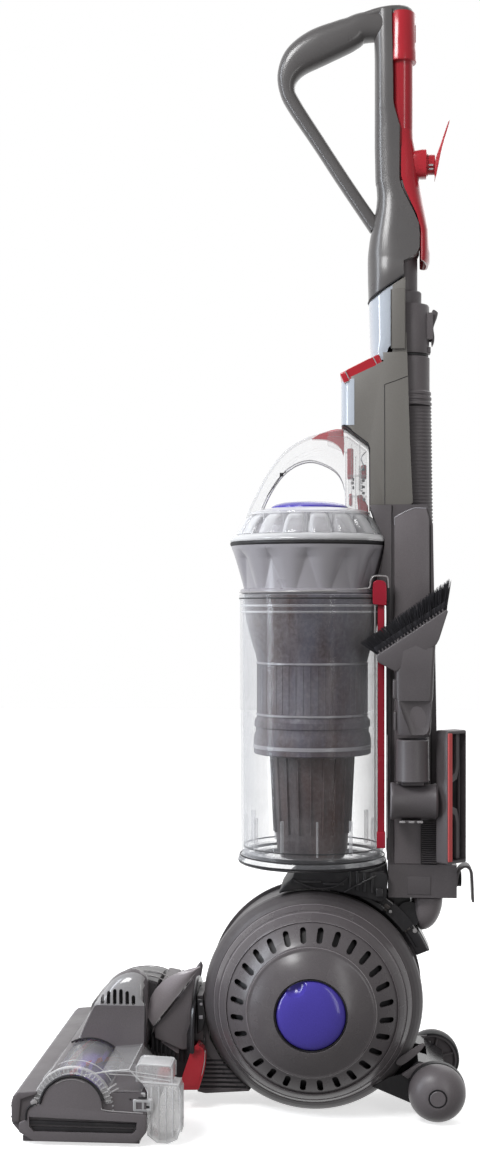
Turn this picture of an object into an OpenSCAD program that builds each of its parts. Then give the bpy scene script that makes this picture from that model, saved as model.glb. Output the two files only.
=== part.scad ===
// Upright vacuum cleaner that rolls on a ball and parks on its own two-wheeled stand.
// Front is -Y, up is +Z, millimetres. The floor is z = 0.
// Shapes are laid out from the ball's axle line (y = 0); in_frame() moves them so that
// the middle of the rest footprint is the origin.

/* [Ball] */
// Radius of the ball
ball_r = 105; // [95:1:115]
// Half width of the gap between the two rolling shells
shell_gap = 30; // [28:1:34]
// Outer radius of the fixed motor drum that everything turns on
drum_r = 60; // [55:0.5:62]
// Number of vent slots in each side cover
vent_count = 28; // [20:1:36]
// Radius of the twist cap over the filter
cap_r = 32.5; // [28:0.5:36]

/* [Bin and cyclone] */
// Outer radius of the clear bin
bin_r = 70; // [66:0.5:72]
// Height of the underside of the bin
bin_z0 = 232; // [230:1:240]
// Height of the top of the clear bin wall
bin_z1 = 494; // [480:1:500]
// Number of flutes round the cyclone pack
flute_count = 12; // [8:1:16]

/* [Handle and wand] */
// Height of the top of the handle
handle_top = 1067; // [1040:1:1090]
// Radius of the wand tube
wand_r = 13.5; // [12:0.5:14]
// Distance of the wand behind the ball axle
wand_y = 87; // [85:0.5:90]
// Radius of the hose crests
hose_r = 18.5; // [17:0.5:20]
// Spacing of the hose ribs
hose_pitch = 12.8; // [8:0.2:16]

/* [Cleaner head] */
// Half width of the cleaner head
head_x = 160; // [150:1:170]
// Radius of the brush bar over its bristles
brush_r = 29; // [26:0.5:30]
// Height of the brush bar axle
brush_z = 33; // [30:0.5:36]
// Distance of the brush bar axle in front of the ball axle
brush_y = -211.5; // [-220:0.5:-205]

/* [Stand] */
// Radius of the stand wheels
stand_r = 27; // [24:0.5:30]
// Distance of the stand axle behind the ball axle
stand_y = 117; // [110:1:125]

/* [Hidden] */
$fn = 64;
frame_shift = 56;              // ball axle to the middle of the footprint
hub = [0, 0, ball_r];          // centre of the ball
bore_gap = 0.06;               // radial play of every turning fit
seat_r = drum_r + 6;           // bearing seats for the rolling shells
swivel_z = 72;                 // height of the neck swivel axis
pitch_y = -150;                // cleaner head pitch axle
pitch_z = 45;
bin_y = -2;                    // bin axis
cyc_y = -4.5;                  // cyclone pack axis
hose_lean = 0.75;              // the hose runs a little to the rear going down
tool_x = 63;                   // brush tool axis, on the right-hand flank
tool_y = 96.3;

grey = [0.40, 0.39, 0.40];
duct_grey = [0.49, 0.48, 0.45];
dark = [0.15, 0.15, 0.16];
silver = [0.62, 0.61, 0.63];
red = [0.72, 0.14, 0.20];
purple = [0.30, 0.26, 0.68];
clear = [0.86, 0.88, 0.90, 0.35];

module in_frame() translate([0, frame_shift, 0]) children();
// Side profile (y, z) drawn flat and pulled out from x0 to x1
module side(x0, x1) translate([x0, 0, 0]) rotate([90, 0, 90]) linear_extrude(x1 - x0) children();
module side_both(x0, x1) { side(x0, x1) children(); side(-x1, -x0) children(); }
module bar_x(r, x0, x1, y, z) translate([x0, y, z]) rotate([0, 90, 0]) cylinder(r = r, h = x1 - x0);
module bar_y(r, y0, y1, x, z) translate([x, y0, z]) rotate([-90, 0, 0]) cylinder(r = r, h = y1 - y0);
module post(r, z0, z1, x, y) translate([x, y, z0]) cylinder(r = r, h = z1 - z0);
module ring_x(ro, ri, x0, x1) difference() {
    bar_x(ro, x0, x1, 0, ball_r);
    bar_x(ri, x0 - 1, x1 + 1, 0, ball_r);
}
// Turned part about the ball axle; profile is (radius, x)
module turned_x() translate(hub) rotate([0, 90, 0]) rotate_extrude($fn = 96) children();
module box(x0, x1, y0, y1, z0, z1) translate([x0, y0, z0]) cube([x1 - x0, y1 - y0, z1 - z0]);
function on_ball(a, r) = [r * cos(a), ball_r + r * sin(a)];
function arc(a0, a1, r, n = 16) = [for (i = [0:n]) on_ball(a0 + (a1 - a0) * i / n, r)];

// ---------------------------------------------------------------- ball and yoke
module yoke_frame() color(grey) in_frame() {
    difference() {
        union() {
            // hoop between the shells: top front, front, bottom, low rear
            difference() {
                ring_x(102, 98, -28, 28);
                side(-40, 40) polygon(concat([[0, ball_r]], arc(-48, 81, 130)));
            }
            // webs that carry the hoop on the drum
            ring_x(99, drum_r + bore_gap, 24, 28);
            ring_x(99, drum_r + bore_gap, -28, -24);
            // nose under the front of the ball
            side(-30, 30) polygon([[-60, 17], [-86, 40], [-100, 64], [-107, 106], [-112, 106],
                [-112, 16], [-106, 14]]);
            bar_y(35, -128, -106, 0, swivel_z);
        }
        // clears the rolling shells
        side_both(29, 60) polygon(concat([[0, ball_r]], arc(150, 262, 107)));
        bar_x(97.5, -23.9, 23.9, 0, ball_r);
        bar_y(24 + bore_gap, -140, -109, 0, swivel_z);
    }
    // lengthwise ribs on the flank of the nose
    for (z = [20:4.2:46], s = [-1, 1])
        box(s > 0 ? 29.9 : -31.4, s > 0 ? 31.4 : -29.9, -111.5, -104 + (46 - z) * 0.9, z, z + 2);
}

module motor_bucket() color(dark) in_frame() {
    difference() {
        union() {
            bar_x(drum_r, -75, 75, 0, ball_r);
            bar_x(seat_r, 36, 46, 0, ball_r);
            bar_x(seat_r, -46, -36, 0, ball_r);
            // neck that leaves the ball through the gap at the top rear
            side(-15, 15) polygon([[14, 150], [44, 138], [82, 173], [93, 182], [93, 203.9],
                [72, 203.9], [68, 211.9], [30, 211.9], [25, 205]]);
        }
        bar_x(55, -76, 76, 0, ball_r);
        // air way up the neck
        side(-11, 11) polygon([[22, 148], [42, 146], [86, 186], [86, 203], [46, 203]]);
    }
}

module motor_body() color(silver) in_frame() {
    bar_x(42, -40, 24, 0, ball_r);
    bar_x(16, -52, -39, 0, ball_r);
    for (a = [30, 150, 270]) translate(hub) rotate([a, 0, 0])
        translate([-36, -4, 40]) cube([56, 8, 14.9]);
}
module motor_rotor() color(silver) in_frame() {
    bar_x(5, 24.5, 50, 0, ball_r);
    bar_x(30, 30, 33, 0, ball_r);
    for (a = [0:45:315]) translate(hub) rotate([a, 0, 0]) translate([32.8, -1.2, 4]) cube([10, 2.4, 25]);
}
module post_filter() color(silver) in_frame() {
    ring_x(54.9, 34, 56, 66);
    for (a = [0:30:330]) translate(hub) rotate([a, 0, 0]) translate([52, -1, 36]) cube([4.1, 2, 16]);
}

// Rolling shell: nearly a ball segment, its own web and hub on the bearing seat
module ball_wheel(s) translate([0, frame_shift, 0]) scale([s, 1, 1]) turned_x() polygon([
    [104.9, 30], [105, 33], [104, 37], [101.6, 41], [98.4, 45], [95, 48.4], [90.8, 48.4], [90.8, 44],
    [72, 44], [72, 46], [seat_r + bore_gap, 46], [seat_r + bore_gap, 36], [72, 36], [72, 40],
    [92, 40], [97, 34.5], [98.5, 30]]);
module ball_wheel_left() color(grey) ball_wheel(-1);
module ball_wheel_right() color(grey) ball_wheel(1);

// Fixed side cover with its ring of vents, spigotted into the drum
module cover_shape(cap) difference() {
    turned_x() polygon(concat(
        [for (r = [94, 90, 86, 82]) [r, sqrt(ball_r * ball_r - r * r) + 2.6]],
        [[81, 69.6], [80.6, 67.6]],
        [for (r = [79, 75, 70, 65, 61]) [r, sqrt(ball_r * ball_r - r * r) + 0.3]],
        [[60, 86.4], [58.6, 88.4]],
        [for (r = [56, 50, 44, 38, 34]) [r, sqrt(ball_r * ball_r - r * r) + 1]],
        [[34, 93], [cap, 93], [cap, 90.5]],
        [[50, 90.5], [50, 66.6], [54.9, 66.6], [54.9, 83]],
        [for (r = [61, 66, 72, 78, 84, 90]) [r, sqrt(ball_r * ball_r - r * r) - 3.4]],
        [[94, 49.4]]));
    for (a = [0:360 / vent_count:359]) translate(hub) rotate([a, 0, 0])
        translate([60, -2.4, 64]) cube([35, 4.8, 13]);
}
module side_cover_right() color(grey) in_frame() cover_shape(20);
module side_cover_left() color(grey) in_frame() mirror([1, 0, 0]) {
    cover_shape(20);
    translate(hub) rotate([0, 90, 0]) rotate_extrude() polygon([[0, 90.5], [20, 90.5], [20, 93.1],
        [32.4, 93.1], [32.4, 99.5], [24, 102], [0, 103.4]]);
}
module filter_cap() color(purple) in_frame() {
    difference() {
        translate(hub) rotate([0, 90, 0]) rotate_extrude($fn = 72) polygon([[0, 93.4], [cap_r, 93.4],
            [cap_r, 99], [cap_r - 1.5, 100.4], [24, 102], [12, 103.4], [0, 103.8]]);
        translate(hub) rotate([-35, 0, 0]) box(98, 106, -5, 5, 29.6, 34);
    }
    bar_x(19.9, 84, 93.5, 0, ball_r);
}

// ------------------------------------------------------------------ upright body
module changeover_duct() color(dark) in_frame() difference() {
    union() {
        side(-15, 15) polygon(concat(arc(22, 58, 120.5), arc(58, 22, 108)));
        side(-28, 28) polygon(concat(arc(37, 50, 120.5), arc(50, 37, 108)));
        bar_x(12, -22, 22, 92, 186);
    }
    side(-15.1, 15.1) polygon([[14, 150], [44, 138], [82, 173], [93.1, 181.9], [93.1, 204.1], [30, 212]]);
    box(-50, 50, 60, 140, 203.9, 230);
}

module bin_seat() color(dark) in_frame() difference() {
    union() {
        box(-42, 42, -46, 69, 200, 229);
        side(-34, 34) polygon([[68, 204], [71.9, 204], [71.9, 226], [68, 229]]);
    }
    bar_x(107.6, -60, 60, 0, ball_r);
    side(-15.1, 15.1) polygon([[20, 190], [80, 190], [80, 203.9], [72, 203.9], [68, 212], [20, 212]]);
    for (y = [34:7:62]) box(-60, 60, y, y + 2, 224, 230);
}

// Long rear duct: a channel, open to the rear, that the hose lies in
module spine_lower() color(grey) in_frame() difference() {
    union() {
        side(-31, 31) polygon([[72, 204], [133, 204], [137, 208], [137, 231], [133, 235.5],
            [119.5, 276], [114.5, 560], [109, 579.9], [58, 579.9], [58, 500], [72, 480]]);
        side(-34, 34) polygon([[72, 204], [137, 204], [137, 235.5], [72, 235.5]]);
        // raised cover strips down both flanks
        side_both(30.9, 33) polygon([[78.6, 235.5], [110, 235.5], [110, 556], [104, 576], [86, 576],
            [78.6, 568]]);
    }
    // hose channel
    translate([0, 95.6, 676.4]) rotate([hose_lean, 0, 0]) translate([0, 0, -424]) hull() {
        cylinder(r = hose_r + 1.2, h = 340);
        translate([0, 50, 0]) cylinder(r = hose_r + 1.2, h = 340);
    }
    // hollow front that the bin and its cyclone pack stand in
    post(72.6, 470, 497, 0, bin_y);
    translate([0, cyc_y, 496.9]) cylinder(h = 45, r1 = 70.6, r2 = 79.4);
    post(79.4, 541.8, 590, 0, cyc_y);
    // pocket for the grille
    box(31, 35, 103.5, 118.5, 235.6, 277);
    // air way
    side(-26, 26) polygon([[77, 203], [126, 203], [126, 228], [77, 228]]);
}
module rear_grille() color(dark) in_frame() {
    for (z = [237:3.6:273]) box(31, 34, 104.2, 117.6 - (z - 236) * 0.17, z, z + 1.8);
    box(31, 32.6, 104, 111, 236, 276);
}

module duct_upper() color(duct_grey) in_frame() difference() {
    union() {
        side(-30, 30) polygon([[32, 657.4], [36, 654], [55.2, 640], [56.4, 634], [56.4, 580], [96, 580],
            [92, 700], [88, 777], [88, 790], [84, 796], [70, 786], [58, 778], [58, 722], [34, 704]]);
        // glossy front face
        hull() for (x = [-24, 24]) post(6, 657.4, 700, x, 33.4, $fn = 32);
        box(-28, 28, 28.4, 60, 657.4, 703);
        side_both(29.9, 30.8) polygon([[70, 590], [93, 590], [90, 690], [70, 690]]);
    }
    post(22.6, 570, 790, 0, 93);
    post(14.1, 700, 830, 0, wand_y);
    // inlet up the middle
    box(-20, 20, 60, 66, 570, 690);
    // slanted pocket for the switch panel
    side(-40, 40) polygon([[20, 692.5], [67, 711.4], [67, 740], [20, 740]]);
}

module switch_panel() color(red) in_frame() difference() {
    side(-28.5, 28.5) polygon([[27.6, 695.6], [27.6, 703], [29, 704.4], [57.8, 718.9], [57.8, 707.7]]);
    for (s = [-1, 1]) side(s * 13 - 9, s * 13 + 9) polygon([[32.6, 700.3], [32.6, 712], [54.8, 722.3], [54.8, 709.3]]);
}
// Button on the slanted panel, pressed square to the panel face
module button_shape(x) in_frame() {
    side(x - 8.6, x + 8.6) polygon([[33.6, 703.4], [33.6, 708.4], [35, 709.8], [52, 718.4], [53.4, 718.2],
        [53.4, 712.4]]);
}
module power_button() color(red) button_shape(13);
module brush_button() color(red) button_shape(-13);

module wand_socket() color(duct_grey) in_frame() difference() {
    union() {
        side(-27, 27) polygon([[54, 723], [57.8, 723], [57.8, 778.1], [70, 786.1], [84, 796.1],
            [88, 790], [88, 800], [87.4, 800.3], [53.2, 777.6]]);
        side_both(30, 31.4) polygon([[57.8, 730], [82, 730], [83, 788], [80, 790], [58, 777]]);
    }
    post(14.1, 700, 830, 0, wand_y);
    post(17.4, 760, 790, 0, 88);
}

module handle_shroud() color(grey) in_frame() difference() {
    union() {
        side(-24, 24) polygon([[53.4, 778], [52.3, 823.4], [56.7, 851.7], [88.5, 851.7], [88.5, 816],
            [87.4, 800.6]]);
        side(-20, 20) polygon([[56.7, 851.6], [60.7, 870.7], [62, 881], [60.2, 894], [83.5, 894],
            [88.5, 882], [88.5, 851.6]]);
    }
    post(14.1, 770, 900, 0, wand_y);
    side(-40, 40) polygon([[53, 777.9], [87.5, 800.5], [95, 800], [95, 770], [53, 770]]);
}

module handle_grip() color(grey) in_frame() {
    difference() {
        side(-16, 16) polygon([[79.5, 894], [60, 894], [59, 930], [59, 1027], [58, 1027.3], [53.3, 1031.7],
            [44.5, 1033.5], [37.7, 1029.3], [32.3, 1022.9], [7.9, 1011.7], [-13, 1001.2], [-19, 992.5],
            [-18.2, 983.8], [-0.8, 956], [30.5, 910.7], [59, 872.3], [60.7, 870.8], [56.8, 852],
            [25, 891.7], [-0.8, 931.7], [-27, 971.7], [-32.2, 985.4], [-34.7, 1002.9], [-32.6, 1016.9],
            [-21.9, 1032.6], [-0.8, 1046.8], [25, 1057], [58, 1062.4], [72.4, handle_top],
            [97, handle_top - 3], [97, handle_top - 5.6], [70, handle_top - 5.6],
            [70, 1017.8], [79.5, 1017.8]]);
        post(14.1, 880, 1030, 0, wand_y);
        // the return leg of the loop is slimmer than the grip
        side_both(11, 20) polygon([[-45, 948], [12, 948], [59.4, 885], [64, 866], [64, 845], [-10, 845]]);
    }
}

module hose_cuff_upper() color(grey) in_frame() difference() {
    union() {
        post(20.5, 727, 775, 0, 92);
        post(17, 775, 789, 0, 88);
        box(-8, 8, 108, 114, 727.5, 734);
        for (s = [-1, 1]) box(s * 9 - 1.5, s * 9 + 1.5, 106, 116, 742, 766);
    }
    post(wand_r + 0.1, 700, 800, 0, wand_y);
}
module cuff_catch() color(red) in_frame() {
    box(-6.8, 6.8, 114, 117.2, 738, 768);
    box(-6.8, 6.8, 114, 120, 763, 768);
    bar_x(2.4, -7.2, 7.2, 115.4, 752, $fn = 24);
}
module hose_cuff_lower() color(grey) in_frame() difference() {
    union() {
        post(20.5, 695, 724, 0, 92);
        for (z = [677.5:3.6:692]) post(21.8, z, z + 2, 0, 92.4);
        post(20.3, 677, 696, 0, 92.4);
        post(18, 723.9, 727, 0, 91);
    }
    post(wand_r + 0.1, 670, 800, 0, wand_y);
}
// Ribbed hose lying in the channel, a little lower at the rear
module hose() color(dark) in_frame() translate([0, 95.6, 676.4]) rotate([hose_lean, 0, 0]) rotate_extrude($fn = 48)
    polygon(concat(
        [for (i = [0:32]) each [[hose_r - 2, -i * hose_pitch], [hose_r, -(i + 0.25) * hose_pitch],
            [hose_r, -(i + 0.6) * hose_pitch], [hose_r - 2, -(i + 0.85) * hose_pitch]]],
        [[hose_r - 2, -33 * hose_pitch], [hose_r - 5, -33 * hose_pitch], [hose_r - 5, 0]]));

// ----------------------------------------------------------------------- wand
module wand_tube() color(grey) in_frame() difference() {
    post(wand_r, 690, 894.5, 0, wand_y);
    post(wand_r - 2, 680, 900, 0, wand_y);
}
module wand_grip() color(red) in_frame() difference() {
    union() {
        post(wand_r, 894.6, 1018, 0, wand_y);
        // skirt that flares back over the shroud
        side(-13, 13) polygon([[88.8, 937], [96, 937], [102, 894.6], [110.8, 854.6], [112.4, 825],
            [109, 814], [104, 813], [103, 822], [103, 853], [93, 894.6], [88.8, 900]]);
        side(-11, 11) polygon([[95, 898.5], [111.6, 898.5], [117, 910], [117, 927], [95, 927]]);
    }
    post(wand_r - 2, 880, 1030, 0, wand_y);
    post(wand_r + 0.1, 700, 894.5, 0, wand_y);
    bar_y(3.4, 110, 118, 0, 914, $fn = 32);
}
module cord_hook_upper() color(red) in_frame() {
    bar_y(3.34, 110.4, 117.4, 0, 914, $fn = 32);
    side(-10, 10) polygon([[117.4, 899], [121.5, 901], [121.5, 926], [130.5, 950.5], [128.5, 951],
        [117.4, 928]]);
}
module wand_cap() color(red) in_frame() {
    difference() {
        post(13.9, 1021.5, 1061, 0, wand_y);
        post(10.5, 1010, 1056, 0, wand_y);
    }
    box(-5, 5, 97, 101.4, 1022, 1036);
}

// ------------------------------------------------------------------ bin, cyclone
module bin_body() color(clear) in_frame() difference() {
    union() {
        translate([0, bin_y, 0]) rotate_extrude() polygon([[bin_r - 0.8, 240.4], [bin_r, 250], [bin_r + 1, bin_z1],
            [bin_r - 2, bin_z1], [bin_r - 3, 250], [bin_r - 3, 240.4]]);
        translate([0, bin_y, 0]) for (a = [0:30:330]) rotate(a) translate([bin_r - 7, -0.8, 246])
            cube([4.6, 1.6, 30]);
    }
}
module bin_base() color(clear) in_frame() {
    bar_x(2.4, -15, 15, -74.2, 237, $fn = 32);
    translate([0, bin_y, 0]) rotate_extrude() polygon([[0, 234], [40, 234], [60, bin_z0], [bin_r + 0.4, bin_z0],
        [bin_r + 1, 236], [bin_r + 0.4, 240.2], [bin_r - 4, 240.2], [bin_r - 5, 245], [bin_r - 6, 245],
        [bin_r - 6, 237], [0, 237]]);
}
module inner_cone() color(dark) in_frame() translate([0, bin_y, 0]) rotate_extrude($fn = 72) polygon([[0, 237.2], [30, 237.2],
    [34, 256], [36, 270], [40, 338.3], [36, 338.3], [30, 262], [0, 262]]);
module cyclone_shroud() color(silver) in_frame() translate([0, bin_y, 0]) rotate_extrude($fn = 72) polygon([
    [40.2, 338.5], [57.5, 338.5], [57.5, 358], [56, 360], [56, 374], [54.8, 376], [54.8, 433], [60, 450],
    [66, 474], [67.6, 496.8], [40, 496.8], [50, 433], [50, 376], [40.2, 358]]);
// Fluted silver cyclone pack
module cyclone_cones() color(silver) in_frame() translate([0, cyc_y, 0]) {
    difference() {
        union() {
            rotate_extrude($fn = 96) polygon([[0, 497], [65, 497], [67.6, 500], [69, 512], [73, 530],
                [76.4, 540.5], [77.4, 541], [77.4, 546], [0, 546]]);
            for (i = [0:flute_count - 1]) rotate((i + 0.5) * 360 / flute_count)
                translate([57.5, 0, 503]) rotate([0, 8, 0]) cylinder(r1 = 10, r2 = 16, h = 37, $fn = 32);
        }
        translate([0, 0, 490]) cylinder(r = 34, h = 50);
    }
}
module cyclone_crown() color(clear) in_frame() difference() {
    translate([0, cyc_y, 0]) union() {
        rotate_extrude($fn = 96) polygon([[40, 546.2], [72, 546.2], [70, 553], [60, 570], [54, 574.6],
            [38, 576], [34, 578], [34, 546.2]]);
        for (i = [0:flute_count + 3]) rotate((i + 0.5) * 360 / (flute_count + 4))
            translate([62, 0, 546.2]) cylinder(r1 = 11.5, r2 = 7, h = 22, $fn = 32);
    }
    translate([0, cyc_y, 546.1]) cylinder(r1 = 60, r2 = 50, h = 20);
    // seats of the carry handle
    side(-15.1, 15.1) polygon([[-90, 555.9], [-50, 555.9], [-50, 600], [-90, 600]]);
    side(-15.1, 15.1) polygon([[30, 549.9], [90, 549.9], [90, 600], [30, 600]]);
}
module cyclone_ring() color(purple) in_frame() translate([0, cyc_y, 0]) rotate_extrude($fn = 72) polygon([
    [0, 546.3], [33.8, 546.3], [33.8, 578.6], [31, 580.5], [26, 581], [14, 583], [0, 583.6]]);
module bin_handle() color(clear) in_frame() difference() {
    side(-15, 15) polygon([[-71, 556], [-58, 590], [-44, 616], [-28, 637], [-8, 648], [13, 652.4],
        [26.4, 653.8], [30, 653], [52, 637], [54.2, 633], [54.2, 580], [55, 556], [54, 550], [31, 550],
        [30.4, 577], [28, 603], [23, 614], [7, 624], [-13, 624], [-33, 610], [-45, 590], [-53, 569],
        [-55, 556]]);
    // hollow rear column round the release mechanism, and the trigger slot above it
    side(-12.6, 12.6) polygon([[33, 556], [51.6, 556], [51.6, 634], [33, 648], [12, 648], [12, 640], [33, 632]]);
    side(-8, 8) polygon([[13, 645], [27, 645], [27, 660], [13, 660]]);
}
module bin_trigger() color(red) in_frame() {
    side(-7.4, 7.4) polygon([[14, 643.4], [14, 653.6], [22, 655.4], [26.4, 655], [26.4, 643.4]]);
    side(-3, 3) polygon([[36, 578], [41, 578], [41, 636], [31, 644], [26.2, 646], [22, 646], [22, 642.1],
        [36, 634]]);
    side(-5, 5) polygon([[38, 594], [48, 598], [48, 604], [38, 608]]);
}
module bin_rod() color(red) in_frame() {
    box(38.6, 42, 61.2, 68.6, 256, 507);
    side(40.8, 46) polygon([[57, 486], [69.6, 484], [69.6, 500], [67, 507], [58.4, 507], [56.8, 501]]);
    box(38.6, 45, 60.4, 69.4, 252, 268);
}

// ---------------------------------------------------------------------- switches, tools
module tool_holder() color(grey) in_frame() {
    // mounting plate, peg for the brush tool and shelf for the stair tool
    side(33.05, 36) polygon([[79, 262], [102, 262], [102, 280], [108, 290], [108, 345], [79, 345]]);
    box(35.9, tool_x, 88, 105, 309.4, 317.6);
    post(14.2, 309.4, 358, tool_x, tool_y);
    box(35.9, 70, 84, 106, 266, 271.6);
}
module brush_tool() color(grey) in_frame() difference() {
    union() {
        post(17.5, 318.4, 364, tool_x, tool_y);
        // scooped nozzle and brush shoe
        side(tool_x - 15, tool_x + 15) polygon([[79, 363.6], [113.6, 363.6], [113, 380], [112, 443], [78, 443],
            [78, 380]]);
        side(tool_x - 14, tool_x + 16) polygon([[78.4, 424], [112, 398], [127, 478.6], [60.8, 435.6],
            [61.3, 429.5]]);
    }
    post(14.26, 310, 362, tool_x, tool_y);
    // air mouth
    hull() for (y = [88, 103]) post(8, 361.5, 500, tool_x, y, $fn = 32);
    // the scooped cheeks
    side_both(tool_x + 12, tool_x + 20) polygon([[84, 372], [107, 372], [107, 388], [101, 395], [90, 395],
        [84, 388]]);
}
module brush_bristles() color(dark) in_frame() difference() {
    side(tool_x - 8.4, tool_x + 11) polygon([[61.5, 436.7], [126.6, 479.1], [130, 510.5], [44.8, 449.4]]);
    side(tool_x - 6.4, tool_x + 7) polygon([[74, 440], [120, 470], [120, 520], [60, 480]]);
}
// Stair tool: its head is turned to face a little to the rear
module stair_place() translate([57, 130.5, 241.5]) rotate(42) children();
module stair_tool() color(grey) in_frame() difference() {
    union() {
        bar_y(17.4, 74, 122, 57, 290);
        stair_place() box(-8, 8, -12.5, 12.5, 0, 124.5);
    }
    bar_y(14.6, 73, 119, 57, 290);
    stair_place() box(0, 9, -9, 9, 6, 118.5);
}
module stair_strip() color(red) in_frame() stair_place() box(8.02, 9.6, -12.4, -9.4, 4, 120.5);

module cord_hook_lower() color(grey) in_frame() side(-12, 12) polygon([[137, 226], [143, 233], [150, 232], [154.4, 224], [155, 196],
    [152.6, 196], [151.8, 223], [148.5, 229], [143, 229.6], [137, 218]]);
module cord_gland() color(dark) in_frame() difference() {
    bar_y(7.5, 137, 144, -20, 214, $fn = 32);
    bar_y(3.6, 140, 145, -20, 214, $fn = 32);
}

// ------------------------------------------------------------------------- stand
module stand_frame() color(grey) in_frame() {
    // two arms that turn on the drum, inside the gap of the hoop
    for (s = [-1, 1]) side(s > 0 ? 17 : -22, s > 0 ? 22 : -17) difference() {
        union() {
            translate([0, ball_r]) circle(71);
            polygon([[40, 58], [62, 79], [108, 45], [110, 40], [94, 22]]);
        }
        translate([0, ball_r]) circle(drum_r + bore_gap);
    }
    // foot outside the ball, and its axle
    difference() {
        union() {
            side(-48, 48) polygon([[100, 52], [108, 50], [126, 38], [126, 18], [104, 12], [84, 20]]);
            bar_x(7.4, -85.5, 85.5, stand_y, stand_r);
        }
        bar_x(107, -60, 60, 0, ball_r);
        // way for the curved duct when the body leans back
        side(-16, 16) polygon(concat([[0, ball_r]], arc(-36, 0, 122.5)));
    }
}
module stand_wheel(x) in_frame() difference() {
    translate([x, stand_y, stand_r]) rotate([0, 90, 0]) rotate_extrude() polygon([[7.46, -17], [14, -17], [22, -15],
        [26, -10], [stand_r, -3], [stand_r, 5], [25, 11], [20, 16], [12, 19], [7.46, 19.4]]);
}
module stand_wheel_left() color(dark) mirror([1, 0, 0]) stand_wheel(66);
module stand_wheel_right() color(dark) stand_wheel(66);

// ------------------------------------------------------------------ cleaner head
module head_neck() color(grey) in_frame() difference() {
    union() {
        bar_y(24, -129, -110, 0, swivel_z);
        side(-38, 38) polygon([[-146, 62], [-131, 52], [-129, 52], [-129, 104], [-136, 116], [-147, 118]]);
        bar_x(12, -34, 34, pitch_y, pitch_z);
        side(-34, 34) polygon([[-158, 52], [-146, 36], [-130, 52], [-131, 70], [-147, 70]]);
    }
    bar_y(17, -150, -100, 0, swivel_z);
}
module neck_flap() color(silver) in_frame() side_both(38.1, 40) polygon([[-147, 76], [-149, 121], [-128, 126], [-109, 132],
    [-118, 112], [-130, 92]]);
module head_body() color(grey) in_frame() difference() {
    union() {
        side(-157, 157) polygon([[-266, 18], [-266, 38], [-262, 45], [-244, 47], [-150, 47], [-145, 42],
            [-145, 14], [-150, 6], [-156, 4], [-247, 4], [-260, 11]]);
        // sole: one flat runner round the suction mouth
        box(-150, 150, -258, -152, 0, 5);
        side(-60, 60) polygon([[-172, 40], [-172, 62], [-165, 66], [-160, 60], [-160, 40]]);
    }
    bar_x(33, -148, 148, brush_y, brush_z);
    box(-146, 146, brush_y - 27, brush_y + 27, -1, 30);
    // pocket for the pitch barrel
    bar_x(12.3, -34.5, 34.5, pitch_y, pitch_z);
    side(-34.5, 34.5) polygon([[-150, 34], [-168, 44], [-168, 80], [-120, 80], [-120, 20], [-138, 28]]);
    // suction way from the brush chamber to the neck
    bar_y(13, -200, -150, 0, 34);
}

module head_cover() color(clear) in_frame() difference() {
    union() {
        bar_x(36, -155, 155, brush_y, brush_z);
        side(-155, 155) polygon([[-208, 47.1], [-208, 66.5], [-190, 67], [-161, 67], [-150, 56], [-149, 47.1]]);
        // round-bottomed end pocket behind the body
        side_both(126, 152) polygon([[-150, 56], [-116, 54], [-114.5, 48], [-114.5, 14], [-118, 5],
            [-126, 1.5], [-136, 2], [-144.8, 9], [-144.8, 47.1], [-150, 47.1]]);
    }
    bar_x(33, -152.5, 152.5, brush_y, brush_z);
    box(-200, 200, -280, -149.9, -20, 47.05);
    side(-152.5, 152.5) polygon([[-208, 40], [-208, 64], [-162, 64.4], [-152.5, 55], [-152.5, 40]]);
    side_both(129, 149) polygon([[-152, 53], [-118.5, 51], [-117.2, 46], [-117.2, 15], [-120, 8], [-127, 4.3],
        [-135, 4.8], [-141.5, 10.5], [-141.5, 50]]);
    box(-64, 64, -235, -140, 40, 90);
}
module end_cap_shape() {
    side(157, head_x) difference() {
        union() {
            intersection() { translate([-211.5, 31]) circle(28); translate([-250, 30]) square([80, 40]); }
            polygon([[-264, 18], [-264, 30], [-146, 30], [-146, 13], [-150, 6], [-156, 4.4], [-247, 4.4],
                [-258, 11]]);
        }
        polygon([[-250, 12], [-250, 22.6], [-154, 22.6], [-154, 12]]);
    }
}
module end_cap_right() color(grey) in_frame() end_cap_shape();
module end_cap_left() color(grey) in_frame() mirror([1, 0, 0]) end_cap_shape();
module motor_hood() color(grey) in_frame() difference() {
    union() {
        side(-62, 62) polygon([[-232, 58], [-229, 66], [-213, 94], [-204, 105], [-192, 113], [-172, 116],
            [-165, 113], [-163, 66], [-164.9, 66.2], [-172.1, 62], [-172.1, 47.1], [-200, 47.1]]);
        // barrel over the swivel, and the taller dome with the vents on the right
        side(-40, 45) polygon([[-204, 90], [-196, 116], [-184, 125], [-172, 129], [-168, 126], [-168, 90]]);
        side(37, 61.5) polygon([[-206, 90], [-202.6, 111], [-192, 127], [-178, 136.6], [-170, 136.6],
            [-166, 130], [-166, 90]]);
    }
    bar_x(36.2, -64, 64, brush_y, brush_z);
    side(-58, 58) polygon([[-208, 75], [-201, 96], [-192, 106.5], [-169, 108.5], [-169, 72]]);
    side(42, 57) polygon([[-200, 80], [-198, 100], [-188, 114], [-171, 121], [-171, 80]]);
    // way for the belt
    side(-54, -34) hull() { translate([-186, 92]) circle(13); translate([brush_y, brush_z]) circle(26); }
    for (i = [0:5], s = [-1, 1]) box(s > 0 ? 57 : -63, s > 0 ? 63 : -57, -205 + i * 6.2, -202 + i * 6.2, 96, 113);
}
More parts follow.
